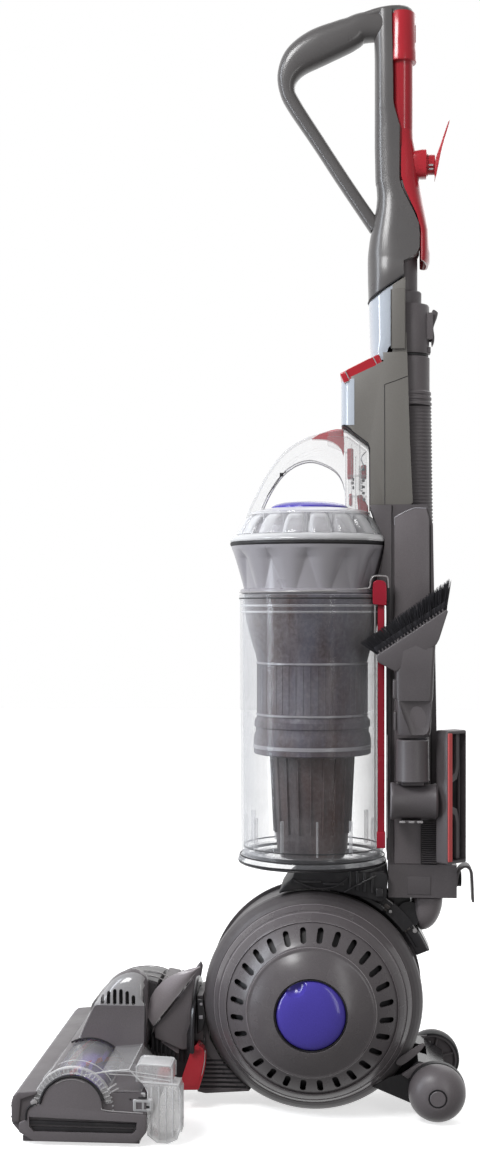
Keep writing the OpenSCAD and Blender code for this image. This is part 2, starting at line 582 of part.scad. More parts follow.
module brushbar() color(red) in_frame() {
    bar_x(21, -140, 140, brush_y, brush_z);
    bar_x(6, -147.8, 147.8, brush_y, brush_z);
    // bristle rows, with a gap where the belt runs
    for (k = [0:3]) for (i = [0:6]) let (x = [-121, -83, -14, 22, 58, 94, 124][i], w = i == 6 ? 12 : 17)
        translate([x, brush_y, brush_z]) rotate([k * 90 + i * 14, 0, 0])
            translate([-w, -1.8, 20.4]) cube([2 * w, 3.6, brush_r - 21.2]);
}
module drive_pulley() color(silver) in_frame() {
    bar_x(8, -52, -34, -186, 92);
    bar_x(4, -34.1, 30, -186, 92);
}
module drive_belt() color(dark) in_frame() difference() {
    side(-52, -36) hull() { translate([-186, 92]) circle(10.2); translate([brush_y, brush_z]) circle(23); }
    side(-53, -35) hull() { translate([-186, 92]) circle(8.4); translate([brush_y, brush_z]) circle(21.4); }
}
module head_latch() color(red) in_frame() {
    bar_x(2.6, 35.2, 53, -110, 61.5, $fn = 32);
    side(35.2, 50) polygon([[-104, 59], [-110, 65], [-116, 58], [-127.5, 24], [-113, 23.5],
    [-108.5, 30], [-103.5, 47.5]]);
}

yoke_frame();
motor_bucket();
motor_body();
motor_rotor();
post_filter();
side_cover_left();
side_cover_right();
ball_wheel_left();
ball_wheel_right();
filter_cap();
changeover_duct();
bin_seat();
spine_lower();
rear_grille();
duct_upper();
switch_panel();
power_button();
brush_button();
wand_socket();
handle_shroud();
handle_grip();
hose_cuff_upper();
cuff_catch();
hose_cuff_lower();
hose();
wand_tube();
wand_grip();
cord_hook_upper();
wand_cap();
bin_body();
bin_base();
inner_cone();
cyclone_shroud();
cyclone_cones();
cyclone_crown();
cyclone_ring();
bin_handle();
bin_trigger();
bin_rod();
tool_holder();
brush_tool();
brush_bristles();
stair_tool();
stair_strip();
cord_hook_lower();
cord_gland();
stand_frame();
stand_wheel_left();
stand_wheel_right();
head_neck();
neck_flap();
head_body();
head_cover();
end_cap_left();
end_cap_right();
motor_hood();
brushbar();
drive_pulley();
drive_belt();
head_latch();
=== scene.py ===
import bpy, bmesh, random
from math import atan2, cos, hypot, pi, radians, sin, sqrt
from mathutils import Vector, Matrix


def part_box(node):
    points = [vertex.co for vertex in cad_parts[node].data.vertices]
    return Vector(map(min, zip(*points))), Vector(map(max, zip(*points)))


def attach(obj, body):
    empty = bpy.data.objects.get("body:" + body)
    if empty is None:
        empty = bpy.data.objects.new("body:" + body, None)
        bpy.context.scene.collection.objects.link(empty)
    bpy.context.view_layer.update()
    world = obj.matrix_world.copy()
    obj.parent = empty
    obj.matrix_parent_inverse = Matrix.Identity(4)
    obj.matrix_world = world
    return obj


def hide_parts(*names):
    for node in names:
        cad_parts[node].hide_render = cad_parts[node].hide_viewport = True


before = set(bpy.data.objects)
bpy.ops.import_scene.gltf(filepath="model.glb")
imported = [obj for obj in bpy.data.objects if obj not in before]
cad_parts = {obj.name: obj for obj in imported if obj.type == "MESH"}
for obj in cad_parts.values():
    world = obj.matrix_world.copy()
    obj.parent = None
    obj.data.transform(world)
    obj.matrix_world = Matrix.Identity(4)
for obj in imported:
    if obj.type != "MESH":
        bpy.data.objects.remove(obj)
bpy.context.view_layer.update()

random.seed(7)


# ------------------------------------------------------------------ places
# Every point below is given in mm: x across, y back from the ball axle, z above the floor.
def centre(lo, hi):
    """Middle of a CAD box as such a point."""
    x, y, z = [(a + b) / 2 for a, b in zip(lo, hi)]
    return x * 1000, (y - AXLE_Y) * 1000, z * 1000


_lo, _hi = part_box("filter_cap")
AXLE_Y = (_lo[1] + _hi[1]) / 2                        # the only one in metres
BALL_Z = centre(_lo, _hi)[2]
BALL_R = 105
BIN_Y = centre(*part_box("bin_body"))[1]
CYC_Y = centre(*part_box("cyclone_cones"))[1]
WAND_Y = centre(*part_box("wand_tube"))[1]
HOSE_Y = 93                                           # the hose's top end in its cuffs
BRUSH_Y, BRUSH_Z = centre(*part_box("brushbar"))[1:]
STAND_Y, STAND_Z = centre(*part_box("stand_wheel_right"))[1:]
TOOL_X = centre(*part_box("brush_tool"))[0]
HOLD_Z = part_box("brush_tool")[0][2] * 1000 - 0.6      # the shelf under the brush tool
SIDES = (1, -1)                                       # near (right) side, far (left) side


def P(x, y, z):
    return Vector((x / 1000, AXLE_Y + y / 1000, z / 1000))


AT_BALL = P(0, 0, BALL_Z)
AT_BIN = P(0, BIN_Y, 0)
AT_CYC = P(0, CYC_Y, 0)
AT_WAND = P(0, WAND_Y, 0)
AT_HOSE = P(0, HOSE_Y, 0)
AT_BRUSH = P(0, BRUSH_Y, BRUSH_Z)


# ------------------------------------------------------------------ mesh helpers
def shade(o, angle=32):
    me = o.data
    me.polygons.foreach_set("use_smooth", [True] * len(me.polygons))
    me.set_sharp_from_angle(angle=radians(angle))
    me.update()


def placed(name, data):
    o = bpy.data.objects.new(name, data)
    bpy.context.scene.collection.objects.link(o)
    return o


def new_obj(name, verts, faces, angle=32):
    me = bpy.data.meshes.new(name)
    me.from_pydata([tuple(v) for v in verts], [], faces)
    me.validate()
    bm = bmesh.new(); bm.from_mesh(me)
    bmesh.ops.remove_doubles(bm, verts=bm.verts, dist=1e-6)
    bmesh.ops.recalc_face_normals(bm, faces=bm.faces)
    bm.to_mesh(me); bm.free()
    o = placed(name, me)
    shade(o, angle)
    return o


def applied(o):
    """Turn the modifiers into mesh."""
    dg = bpy.context.evaluated_depsgraph_get()
    dg.update()
    me = bpy.data.meshes.new_from_object(o.evaluated_get(dg))
    o.modifiers.clear()
    old = o.data
    o.data = me
    bpy.data.meshes.remove(old)


def bevel_mod(o, w, seg, angle):
    m = o.modifiers.new("Bevel", "BEVEL")
    m.width = w / 1000; m.segments = seg
    m.limit_method = "ANGLE"; m.angle_limit = radians(angle)
    m.use_clamp_overlap = True
    return m


def bevel(o, w, seg=2, angle=32):
    bevel_mod(o, w, seg, angle).harden_normals = False
    applied(o); shade(o, 40)
    return o


def cut(o, *cutters, op="DIFFERENCE"):
    for c in cutters:
        m = o.modifiers.new("Cut", "BOOLEAN")
        m.operation = op; m.solver = "EXACT"; m.object = c
        m.use_hole_tolerant = True
    applied(o)
    for c in cutters:
        me = c.data
        bpy.data.objects.remove(c)
        bpy.data.meshes.remove(me)
    shade(o)


def join(name, objs):
    bm = bmesh.new()
    for o in objs:
        tmp = o.data.copy(); tmp.transform(o.matrix_basis)
        bm.from_mesh(tmp)
        bpy.data.meshes.remove(tmp)
    me = bpy.data.meshes.new(name)
    bm.to_mesh(me); bm.free()
    for o in objs:
        old = o.data
        bpy.data.objects.remove(o)
        if old.users == 0: bpy.data.meshes.remove(old)
    o = placed(name, me)
    shade(o)
    return o


def lathe(name, prof, at, axis="Z", seg=96, angle=32, a0=0.0, a1=360.0):
    """prof: (radius, height) points in mm; at: a P() point; axis X, Y or Z; a0 to a1 in degrees."""
    full = a1 - a0 >= 360
    n = seg if full else seg + 1
    verts, faces = [], []
    for i in range(n):
        a = radians(a0 + (a1 - a0) * i / seg)
        c, s = cos(a), sin(a)
        for r, h in prof:
            r /= 1000; h /= 1000
            if axis == "Z": d = Vector((r * c, r * s, h))
            elif axis == "X": d = Vector((h, r * c, r * s))
            else: d = Vector((r * s, h, r * c))
            verts.append(at + d)
    k = len(prof)
    for i in range(seg):
        j = (i + 1) % n
        for a in range(k):
            b = (a + 1) % k
            faces.append((i * k + a, j * k + a, j * k + b, i * k + b))
    if not full:
        faces.append(tuple(range(k)))
        faces.append(tuple(seg * k + a for a in reversed(range(k))))
    return new_obj(name, verts, faces, angle)


def prism_faces(n):
    """Faces between an outline of n points and its copy."""
    ends = [tuple(range(n)), tuple(reversed(range(n, 2 * n)))]
    return ends + [(i, (i + 1) % n, n + (i + 1) % n, n + i) for i in range(n)]


def prism(name, pts, x0, x1, bev=0.0, seg=3, axis="X"):
    """Side outline (y, z) between x0 and x1. axis Z: outline is (x, y) between z0 and z1."""
    ends = sorted((x0, x1))
    if axis == "X": verts = [P(x, y, z) for x in ends for y, z in pts]
    else: verts = [P(x, y, z) for z in ends for x, y in pts]
    o = new_obj(name, verts, prism_faces(len(pts)))
    return bevel(o, bev, seg) if bev else o


def block(name, x0, x1, y0, y1, z0, z1, bev=1.0, seg=3):
    return prism(name, [(y0, z0), (y1, z0), (y1, z1), (y0, z1)], x0, x1, bev, seg)


def both(pts, x0, x1, bev=0.0, seg=3):
    """The same side outline on both sides."""
    return [prism("both", pts, s * x0, s * x1, bev, seg) for s in SIDES]


def loft(name, rings, angle=40):
    n = len(rings[0])
    verts = [p for r in rings for p in r]
    faces = []
    for i in range(len(rings) - 1):
        for a in range(n):
            b = (a + 1) % n
            faces.append((i * n + a, i * n + b, (i + 1) * n + b, (i + 1) * n + a))
    faces.append(tuple(reversed(range(n))))
    faces.append(tuple((len(rings) - 1) * n + a for a in range(n)))
    return new_obj(name, verts, faces, angle)


def squared(v, e):
    """Signed power that squares a circle's sine or cosine off."""
    return abs(v) ** (2 / e) * (1 if v >= 0 else -1)


def oval(a, b, e=2.0, n=32):
    turns = [2 * pi * i / n for i in range(n)]
    return [(a * squared(cos(t), e), b * squared(sin(t), e)) for t in turns]


def side_arc(x, cy, cz, r, degrees):
    """Points of a circle in the side plane at x."""
    return [P(x, cy + r * cos(radians(t)), cz + r * sin(radians(t))) for t in degrees]


def smooth_bit(p0, p1, p2, p3, per):
    """Catmull-Rom from p1 up to p2; the tuples may have any length."""
    return [tuple(0.5 * (2 * b + (c - a) * t + (2 * a - 5 * b + 4 * c - d) * t * t
        + (3 * b - a - 3 * c + d) * t ** 3)
                  for a, b, c, d in zip(p0, p1, p2, p3)) for t in [k / per for k in range(per)]]


def smooth_line(pts, per=6):
    last = len(pts) - 1
    out = []
    for i in range(last):
        out += smooth_bit(pts[max(i - 1, 0)], pts[i], pts[i + 1], pts[min(i + 2, last)], per)
    return out + [tuple(pts[-1])]


def smooth_loop(pts, per=5):
    n = len(pts)
    out = []
    for i in range(n):
        out += smooth_bit(pts[i - 1], pts[i], pts[(i + 1) % n], pts[(i + 2) % n], per)
    return out


def side_sweep(name, stations, per=6, e=2.6, n=36):
    """stations: (y, z, half thickness in the side plane, half width across)."""
    st = smooth_line(stations, per)
    rings = []
    for i, (y, z, t, w) in enumerate(st):
        a = st[max(i - 1, 0)]; b = st[min(i + 1, len(st) - 1)]
        d = Vector((b[0] - a[0], b[1] - a[1])).normalized()
        nx = Vector((-d.y, d.x))
        rings.append([P(px, y + nx.x * py, z + nx.y * py) for px, py in oval(w, t, e, n)])
    return loft(name, rings)


def wire(name, pts, r, n=10, per=6):
    """Round wire through P points, smoothed where per is above 1."""
    pts = [tuple(p) for p in pts]
    line = [Vector(p) for p in (smooth_line(pts, per) if per > 1 else pts)]
    rings = []
    ref = Vector((0, 0, 1))
    for i, p in enumerate(line):
        d = (line[min(i + 1, len(line) - 1)] - line[max(i - 1, 0)]).normalized()
        if abs(d.dot(ref)) > 0.95: ref = Vector((1, 0, 0)) if abs(d.x) < 0.9 else Vector((0, 1, 0))
        u = (ref - d * d.dot(ref)).normalized(); v = d.cross(u)
        ref = u
        rings.append([p + (u * cos(2 * pi * k / n) + v * sin(2 * pi * k / n)) * r / 1000 for k in range(n)])
    return loft(name, rings)


def edge_wire(x, pts, r, n=8, per=1):
    """Wire along (y, z) points at x."""
    return wire("e", [P(x, y, z) for y, z in pts], r, n, per)


def spun(o, at, a):
    """Carry a piece made over the ball axle to a P() point, turned about the vertical."""
    o.data.transform(Matrix.Translation(at) @ Matrix.Rotation(a, 4, "Z") @ Matrix.Translation(-P(0, 0, 0)))
    return o


# ------------------------------------------------------------------ materials
def nodes_of(name, col, alpha=1.0):
    m = bpy.data.materials.new(name)
    m.use_nodes = True
    m.diffuse_color = (*col, alpha)
    nt = m.node_tree
    return m, nt, nt.nodes["Principled BSDF"]


def link(nt, a, b):
    nt.links.new(a, b)


def preset(node, **values):
    """Give a node's inputs their values; _ stands for a space in an input's name."""
    for key, v in values.items(): node.inputs[key.replace("_", " ")].default_value = v


def noise(nt, scale, detail=3.0, rough=0.5, stretch=None):
    tc = nt.nodes.new("ShaderNodeTexCoord")
    mp = nt.nodes.new("ShaderNodeMapping")
    if stretch: mp.inputs["Scale"].default_value = stretch
    n = nt.nodes.new("ShaderNodeTexNoise")
    preset(n, Scale=scale, Detail=detail, Roughness=rough)
    link(nt, tc.outputs["Object"], mp.inputs["Vector"])
    link(nt, mp.outputs["Vector"], n.inputs["Vector"])
    return n.outputs["Fac"]


def ramp(nt, fac, a, b, top=1.0):
    """Black up to a, rising to the grey level top at b."""
    r = nt.nodes.new("ShaderNodeValToRGB")
    r.color_ramp.elements[0].position = a; r.color_ramp.elements[0].color = (0, 0, 0, 1)
    r.color_ramp.elements[1].position = b; r.color_ramp.elements[1].color = (top, top, top, 1)
    link(nt, fac, r.inputs["Fac"])
    return r.outputs["Color"]


def mix(nt, fac, a, b):
    m = nt.nodes.new("ShaderNodeMix"); m.data_type = "RGBA"
    ia, ib, out = m.inputs[6], m.inputs[7], m.outputs[2]
    if isinstance(fac, (int, float)): m.inputs[0].default_value = fac
    else: link(nt, fac, m.inputs[0])
    for s, v in ((ia, a), (ib, b)):
        if isinstance(v, tuple): s.default_value = v if len(v) == 4 else (*v, 1)
        else: link(nt, v, s)
    return out


def remap(nt, fac, a, b, lo=0.3, hi=0.7):
    m = nt.nodes.new("ShaderNodeMapRange")
    preset(m, From_Min=lo, From_Max=hi, To_Min=a, To_Max=b)
    link(nt, fac, m.inputs["Value"])
    return m.outputs["Result"]


def bumpy(nt, b, height, strength, distance):
    bp = nt.nodes.new("ShaderNodeBump")
    preset(bp, Strength=strength, Distance=distance)
    link(nt, height, bp.inputs["Height"])
    link(nt, bp.outputs["Normal"], b.inputs["Normal"])


def tone(c, k):
    return tuple(min(1.0, max(0.0, v * k)) for v in c)


def plastic(name, col, rough=0.38, grain=900, bump=0.05, blotch=0.10, spec=0.5, coat=0.0, scuff=0.25,
        dust=0.0):
    """Moulded plastic: soft tone changes, fine texture, faint scuffs, uneven gloss, a little dust."""
    m, nt, b = nodes_of(name, col)
    slow = noise(nt, 14, 3)
    c = mix(nt, ramp(nt, slow, 0.32, 0.68), tone(col, 1 - blotch), tone(col, 1 + blotch))
    fine = noise(nt, grain, 2, 0.6)
    c = mix(nt, ramp(nt, fine, 0.35, 0.65), c, mix(nt, 0.5, c, tone(col, 1.25)))
    if scuff:
        sc = noise(nt, 55, 6, 0.75, (1.0, 1.0, 0.16))
        c = mix(nt, ramp(nt, sc, 0.66, 0.74, scuff), c, tone(col, 1.9))
    if dust:
        c = mix(nt, ramp(nt, noise(nt, 34, 8, 0.7), 0.5, 0.8, dust), c, (0.33, 0.31, 0.29, 1))
    link(nt, c, b.inputs["Base Color"])
    link(nt, remap(nt, noise(nt, 30, 5, 0.6), rough * 0.85, rough * 1.2), b.inputs["Roughness"])
    bumpy(nt, b, fine, bump, 0.0004)
    preset(b, Specular_IOR_Level=spec, Coat_Weight=coat, Coat_Roughness=0.12, IOR=1.5)
    return m


def clear(name, tint, lo, hi, rough=0.05, haze=0.0):
    """Clear moulded plastic: see-through face on, denser at glancing angles, faint haze and scratches."""
    m, nt, b = nodes_of(name, tint, 0.3)
    lw = nt.nodes.new("ShaderNodeLayerWeight"); preset(lw, Blend=0.42)
    add = nt.nodes.new("ShaderNodeMath"); add.operation = "ADD"; add.use_clamp = True
    link(nt, remap(nt, lw.outputs["Facing"], lo, hi, 0.05, 0.95), add.inputs[0])
    link(nt, remap(nt, noise(nt, 26, 6, 0.7), 0.0, haze, 0.45, 0.8), add.inputs[1])
    link(nt, add.outputs[0], b.inputs["Alpha"])
    c = mix(nt, ramp(nt, noise(nt, 18, 3), 0.35, 0.65), tone(tint, 0.93), tint)
    link(nt, c, b.inputs["Base Color"])
    link(nt, remap(nt, noise(nt, 60, 6, 0.7, (1, 1, 0.2)), rough, rough * 2.4), b.inputs["Roughness"])
    bumpy(nt, b, noise(nt, 45, 3), 0.06, 0.001)
    preset(b, Specular_IOR_Level=0.9, IOR=1.55)
    return m


def metal(name, col, rough):
    m, nt, b = nodes_of(name, col)
    st = noise(nt, 400, 3, 0.6, (1, 0.08, 0.08))
    link(nt, mix(nt, ramp(nt, st, 0.3, 0.7), tone(col, 0.85), tone(col, 1.1)), b.inputs["Base Color"])
    link(nt, remap(nt, st, rough * 0.8, rough * 1.3), b.inputs["Roughness"])
    preset(b, Metallic=1.0)
    return m


def dusty(name, col, brown, pale):
    """Dust-coated plastic: brown and pale patches run down it in streaks."""
    m, nt, b = nodes_of(name, col)
    c = mix(nt, ramp(nt, noise(nt, 16, 4, 0.6, (1, 1, 0.35)), 0.40, 0.62), col, brown)
    c = mix(nt, ramp(nt, noise(nt, 60, 6, 0.7, (1, 1, 0.12)), 0.50, 0.78, 0.55), c, pale)
    c = mix(nt, ramp(nt, noise(nt, 240, 4, 0.7), 0.45, 0.8, 0.3), c, tone(pale, 1.3))
    link(nt, c, b.inputs["Base Color"])
    link(nt, remap(nt, noise(nt, 30, 4), 0.4, 0.7), b.inputs["Roughness"])
    bumpy(nt, b, noise(nt, 300, 4, 0.7), 0.15, 0.0006)
    return m


def fibre(name, col, rough=0.7):
    """Bristles and pleated media: streaks of tone along the length."""
    m, nt, b = nodes_of(name, col)
    st = noise(nt, 700, 4, 0.7, (1, 1, 0.06))
    link(nt, mix(nt, ramp(nt, st, 0.3, 0.7), tone(col, 0.6), tone(col, 1.5)), b.inputs["Base Color"])
    link(nt, remap(nt, noise(nt, 200, 3), rough * 0.85, min(1, rough * 1.15)), b.inputs["Roughness"])
    preset(b, Sheen_Weight=0.06, Specular_IOR_Level=0.3)
    return m


GREY = (0.138, 0.124, 0.130)
DUCT = (0.172, 0.162, 0.148)
SILVER = (0.35, 0.335, 0.36)
RED = (0.44, 0.018, 0.030)
RODRED = (0.40, 0.008, 0.030)
PURPLE = (0.080, 0.060, 0.42)
DARK = (0.030, 0.028, 0.031)
BLACK = (0.012, 0.011, 0.013)

M = {
    "grey": plastic("satin_grey", GREY, 0.42, 900, 0.06, 0.08, dust=0.05),
    "ballgrey": plastic("ball_grey", tone(GREY, 0.88), 0.26, 1100, 0.05, 0.10, dust=0.10, scuff=0.35),
    "shell": plastic("rolling_shell", tone(GREY, 0.62), 0.34, 500, 0.16, 0.14, dust=0.16, scuff=0.5),
    "grip": plastic("grip_grey", (0.104, 0.098, 0.097), 0.30, 1300, 0.03, 0.07, coat=0.25, scuff=0.15),
    "duct": plastic("duct_grey", DUCT, 0.40, 1200, 0.04, 0.05, scuff=0.12),
    # pale blue-grey is a painted reflection on the front of the grey duct and socket
    "front": plastic("blue_grey_painted_reflection", (0.48, 0.52, 0.58), 0.12, 1500, 0.02, 0.05, coat=0.7, scuff=0.08),
    "spine": plastic("spine_grey", tone(GREY, 0.74), 0.40, 900, 0.05, 0.08, dust=0.06),
    "tool": plastic("tool_grey", tone(GREY, 0.78), 0.40, 800, 0.06, 0.09, dust=0.05),
    "silver": plastic("silver_paint", SILVER, 0.30, 2200, 0.03, 0.05, spec=0.6, coat=0.35, scuff=0.06),
    "shroud": dusty("dusty_shroud", (0.105, 0.098, 0.130), (0.080, 0.046, 0.042), (0.27, 0.25, 0.27)),
    "cone": dusty("dusty_cone", (0.058, 0.046, 0.050), (0.085, 0.045, 0.040), (0.17, 0.15, 0.15)),
    "red": plastic("gloss_red", RED, 0.22, 1400, 0.02, 0.07, coat=0.5, scuff=0.12),
    "rodred": plastic("deep_red", RODRED, 0.24, 1400, 0.02, 0.08, coat=0.4, scuff=0.1),
    "hood": plastic("hood_grey", tone(GREY, 1.0), 0.22, 900, 0.03, 0.06, coat=0.3, dust=0.05),
    "capgrey": plastic("cap_grey", tone(GREY, 1.08), 0.42, 900, 0.06, 0.07),
    "bump": plastic("bumper_grey", tone(GREY, 1.0), 0.4, 900, 0.06, 0.07, dust=0.05),
    "neckgrey": plastic("neck_grey", tone(GREY, 0.98), 0.38, 900, 0.05, 0.07),
    # paler grey for the painted highlight rings on the ball covers
    "ring_highlight": plastic("painted_highlight_grey", tone(GREY, 1.9), 0.3, 900, 0.02, 0.05),
    # the pale colour is a painted highlight for the hood's near end
    "dome": plastic("pale_dome_painted_highlight", (0.34, 0.33, 0.335), 0.16, 1400, 0.02, 0.06, coat=0.5, scuff=0.1),
    "vane": plastic("vane_grey", tone(GREY, 2.3), 0.34, 900, 0.03, 0.05, coat=0.2),
    "wheel": plastic("wheel_grey", tone(GREY, 1.06), 0.34, 900, 0.04, 0.06),
    "drk": plastic("satin_dark", (0.040, 0.035, 0.038), 0.3, 900, 0.04, 0.12, coat=0.1, scuff=0.3, dust=0.08),
    "bronze": plastic("brown_grey", (0.10, 0.085, 0.078), 0.3, 900, 0.04, 0.12, coat=0.3),
    "nose": plastic("nose_grey", tone(GREY, 1.35), 0.4, 900, 0.04, 0.06),
    "strip_grey": plastic("strip_grey", tone(GREY, 1.12), 0.36, 900, 0.05, 0.08, dust=0.06),
    "orange": plastic("gloss_orange_red", (0.66, 0.050, 0.035), 0.2, 1400, 0.02, 0.06, coat=0.5, scuff=0.12),
    "strip": plastic("soft_red", (0.58, 0.085, 0.085), 0.6, 1200, 0.2, 0.10, scuff=0.1),
    "purple": plastic("gloss_purple", PURPLE, 0.16, 1500, 0.015, 0.10, spec=0.35, coat=0.25, scuff=0.08),
    "dark": plastic("gloss_dark", tone(DARK, 0.75), 0.22, 900, 0.04, 0.2, coat=0.25, scuff=0.3, dust=0.10),
    "black": plastic("matt_black", BLACK, 0.5, 700, 0.1, 0.2, scuff=0.2, dust=0.10),
    "hose": plastic("hose_grey", tone(GREY, 0.88), 0.5, 700, 0.08, 0.12, dust=0.12, scuff=0.0),
    "rubber": plastic("belt_rubber", (0.02, 0.02, 0.021), 0.75, 500, 0.2, 0.2, spec=0.3, scuff=0.1),
    "flap": plastic("pale_flap", (0.36, 0.345, 0.345), 0.22, 1400, 0.02, 0.08, coat=0.4, scuff=0.1),
    "brush": plastic("brush_core", (0.16, 0.10, 0.40), 0.3, 900, 0.05, 0.15, dust=0.15),
    "clear": clear("clear_bin", (0.86, 0.87, 0.90), 0.02, 0.48, 0.04, 0.05),
    "arch": clear("clear_arch", (0.95, 0.955, 0.965), 0.13, 0.72, 0.05, 0.05),
    "crown": clear("clear_crown", (0.93, 0.93, 0.95), 0.12, 0.95, 0.06, 0.10),
    "rim": clear("clear_rim", (0.93, 0.93, 0.94), 0.45, 0.92, 0.06, 0.05),
    "headclear": clear("clear_head", (0.90, 0.895, 0.90), 0.02, 0.28, 0.05, 0.04),
    "pocket": clear("clear_pocket", (0.93, 0.925, 0.93), 0.26, 0.80, 0.06, 0.25),
    "steel": metal("brushed_metal", (0.55, 0.55, 0.56), 0.3),
    "zinc": metal("screw_metal", (0.42, 0.42, 0.43), 0.35),
    "bristle": fibre("black_bristle", (0.020, 0.019, 0.023)),
    "bristle2": fibre("red_bristle", (0.42, 0.03, 0.08)),
    "paper": fibre("pleated_paper", (0.62, 0.61, 0.60), 0.85),
}


def put(o, body, mat, slot, *replaced):
    o.data.materials.clear()
    o.data.materials.append(M[mat])
    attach(o, body)
    if replaced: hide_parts(*replaced)


def keep(node, mat, bev):
    """A CAD node whose shape is right: soften its edges and give it its material."""
    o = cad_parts[node]
    for s in o.material_slots: s.material = M[mat]
    if not o.material_slots: o.data.materials.append(M[mat])
    if bev:
        bevel_mod(o, bev, 2, 38)
        o.modifiers.new("Normals", "WEIGHTED_NORMAL").keep_sharp = True


# ------------------------------------------------------------------ CAD nodes that stay
for names, mat, bv in (
        ("motor_bucket changeover_duct", "dark", 0.8),
        ("motor_body motor_rotor drive_pulley", "steel", 0.4),
        ("post_filter", "paper", 0.0),
        ("yoke_frame cord_hook_lower", "spine", 0.9),
        ("spine_lower", "spine", 1.0),
        ("stand_frame", "dark", 0.9),
        ("side_cover_left side_cover_right", "ballgrey", 0.5),
        ("ball_wheel_left ball_wheel_right", "shell", 0.5),
        ("filter_cap cyclone_ring", "purple", 0.4),
        ("bin_seat", "dark", 1.0),
        ("rear_grille cord_gland", "black", 0.3),
        ("duct_upper wand_socket", "duct", 1.2),
        ("switch_panel power_button brush_button cuff_catch wand_grip cord_hook_upper wand_cap bin_trigger "
         "head_latch", "red", 0.7),
        ("handle_shroud handle_grip", "grip", 1.5),
        ("hose_cuff_upper hose_cuff_lower wand_tube stand_wheel_left stand_wheel_right tool_holder head_neck "
         "head_body end_cap_left end_cap_right motor_hood", "grey", 0.7),
        ("hose", "hose", 0.5),
        ("bin_body bin_base", "clear", 0.3),
        ("inner_cone", "cone", 0.4),
        ("cyclone_shroud", "shroud", 0.4),
        ("cyclone_cones", "silver", 0.4),
        ("cyclone_crown", "crown", 0.4),
        ("bin_handle", "arch", 1.2),
        ("bin_rod", "rodred", 0.8),
        ("brush_tool stair_tool", "tool", 0.8),
        ("brush_bristles", "bristle", 0.0),
        ("stair_strip", "strip", 0.3),
        ("neck_flap", "flap", 0.4),
        ("head_cover", "headclear", 0.4),
        ("brushbar", "brush", 0.3),
        ("drive_belt", "rubber", 0.2)):
    for n in names.split():
        keep(n, mat, bv)


# ------------------------------------------------------------------ handle, shroud and red wand
SHROUD_SLOPE = 0.655                                  # of the shroud's lower edge, which the socket follows


def c_ring(z, yf, w, yr, slope=0.0):
    """Section open to the rear: round front, straight flanks, hollow for the wand."""
    n, ri, e = 28, 14.2, 2.3
    yc = yf + min(w * 1.15, (yr - yf) * 0.72)
    turns = [pi * i / n for i in range(n + 1)]
    flank, ye = (yr + yc) / 2, min(yr, WAND_Y)
    pts = [(w, yr - 0.8), (w, flank)] + [(w * squared(cos(a), e), yc - (yc - yf) * squared(sin(a), e))
        for a in turns]
    pts += [(-w, flank), (-w, yr - 0.8)]
    xi = ri if yr >= WAND_Y else sqrt(max(ri * ri - (WAND_Y - yr) ** 2, 1))
    a0 = atan2(ye - WAND_Y, xi)
    pts += [(-xi, yr), (-xi, (yr + ye) / 2)]
    for i in range(n + 1):
        a = (pi - a0) + (pi + 2 * a0) * i / n
        pts.append((ri * cos(a), WAND_Y + ri * sin(a)))
    pts += [(xi, (yr + ye) / 2), (xi, yr)]
    return [P(x, y, z + slope * (y - yf)) for x, y in pts]


# the handle: stem round the wand, grip loop, dome on top
stem = loft("stem", [c_ring(*q) for q in (
    (893.6, 60, 15.4, 83.5), (898, 59.6, 15, 83.5), (930, 59, 14.6, 83.5), (946, 59, 14.5, 83.5),
    (951, 59, 14.5, 82.6),
    (967, 59, 14.5, 78.4), (971, 59, 14.5, 77.6), (1016, 59, 14.5, 77), (1040, 58.4, 14.5, 76.5),
    (1061.5, 58, 14.4, 76.2))])
loop = side_sweep("loop", [(72, 1048.6, 14.4, 13.6), (60, 1048.2, 14, 14.2), (50, 1047.8, 14.2, 14.6),
    (43, 1046.2, 14.2, 14.8), (36.5, 1042.6, 15.4, 15), (27, 1038.6, 16.6, 15),
    (4, 1029.5, 17.8, 15), (-15, 1018, 15.6, 14), (-25, 1003.5, 11.2, 12.2), (-26.4, 988, 7.8, 10.6),
    (-19.5, 972.6, 7.4, 9.8),
    (4.7, 935.3, 6.8, 9), (30.5, 895.3, 6.8, 9), (60, 851, 6.8, 9)], per=9, e=2.5, n=44)
dome = lathe("dome", [(0, 1067), (6, 1066.7), (10, 1065.5), (12.8, 1063), (14.2, 1060), (14.6, 1057.4),
    (14.2, 1056.6), (13.9, 1060.4), (0, 1061.3)],
             P(0, 83.2, 0), "Z", 56)
neckf = side_sweep("n", [(50, 1056, 5.6, 12), (62, 1059.6, 5.4, 13), (74, 1061.6, 5.2, 13.6),
    (84, 1062, 4.9, 13)], per=6)
grip = join("handle", [stem, loop, dome, neckf])
put(grip, "wand", "grip", "handle_grip", "handle_grip")
shr = loft("shroud", [c_ring(*q) for q in ((778.6, 53.2, 26.6, 87.4, SHROUD_SLOPE),
    (779.8, 53.0, 26.9, 87.4, 0.65),
    (797, 52.4, 26.2, 87.4, 0.42), (814, 52.2, 25, 87.4, 0.03),
    (817, 52.2, 24.7, 92), (821, 52.3, 24.4, 99.5), (827, 52.6, 23.8, 102.6),
    (840, 54.3, 22.4, 103), (852, 56.7, 21, 102), (863, 59, 19.4, 97.4), (871, 60.5, 18.2, 93.6),
    (881, 61.4, 16.8, 88.6), (889, 60.9, 15.9, 85), (896, 60.1, 15.3, 83.5))])
put(shr, "wand", "grip", "handle_shroud", "handle_shroud")

# red wand: tube with a raised collar, cap block, flared skirt
tube = lathe("tube", [(0, 896), (11.3, 896), (11.3, 1017), (11.9, 1018.6), (11.9, 1020), (0, 1020)],
    P(0, 84.8, 0), "Z", 64)


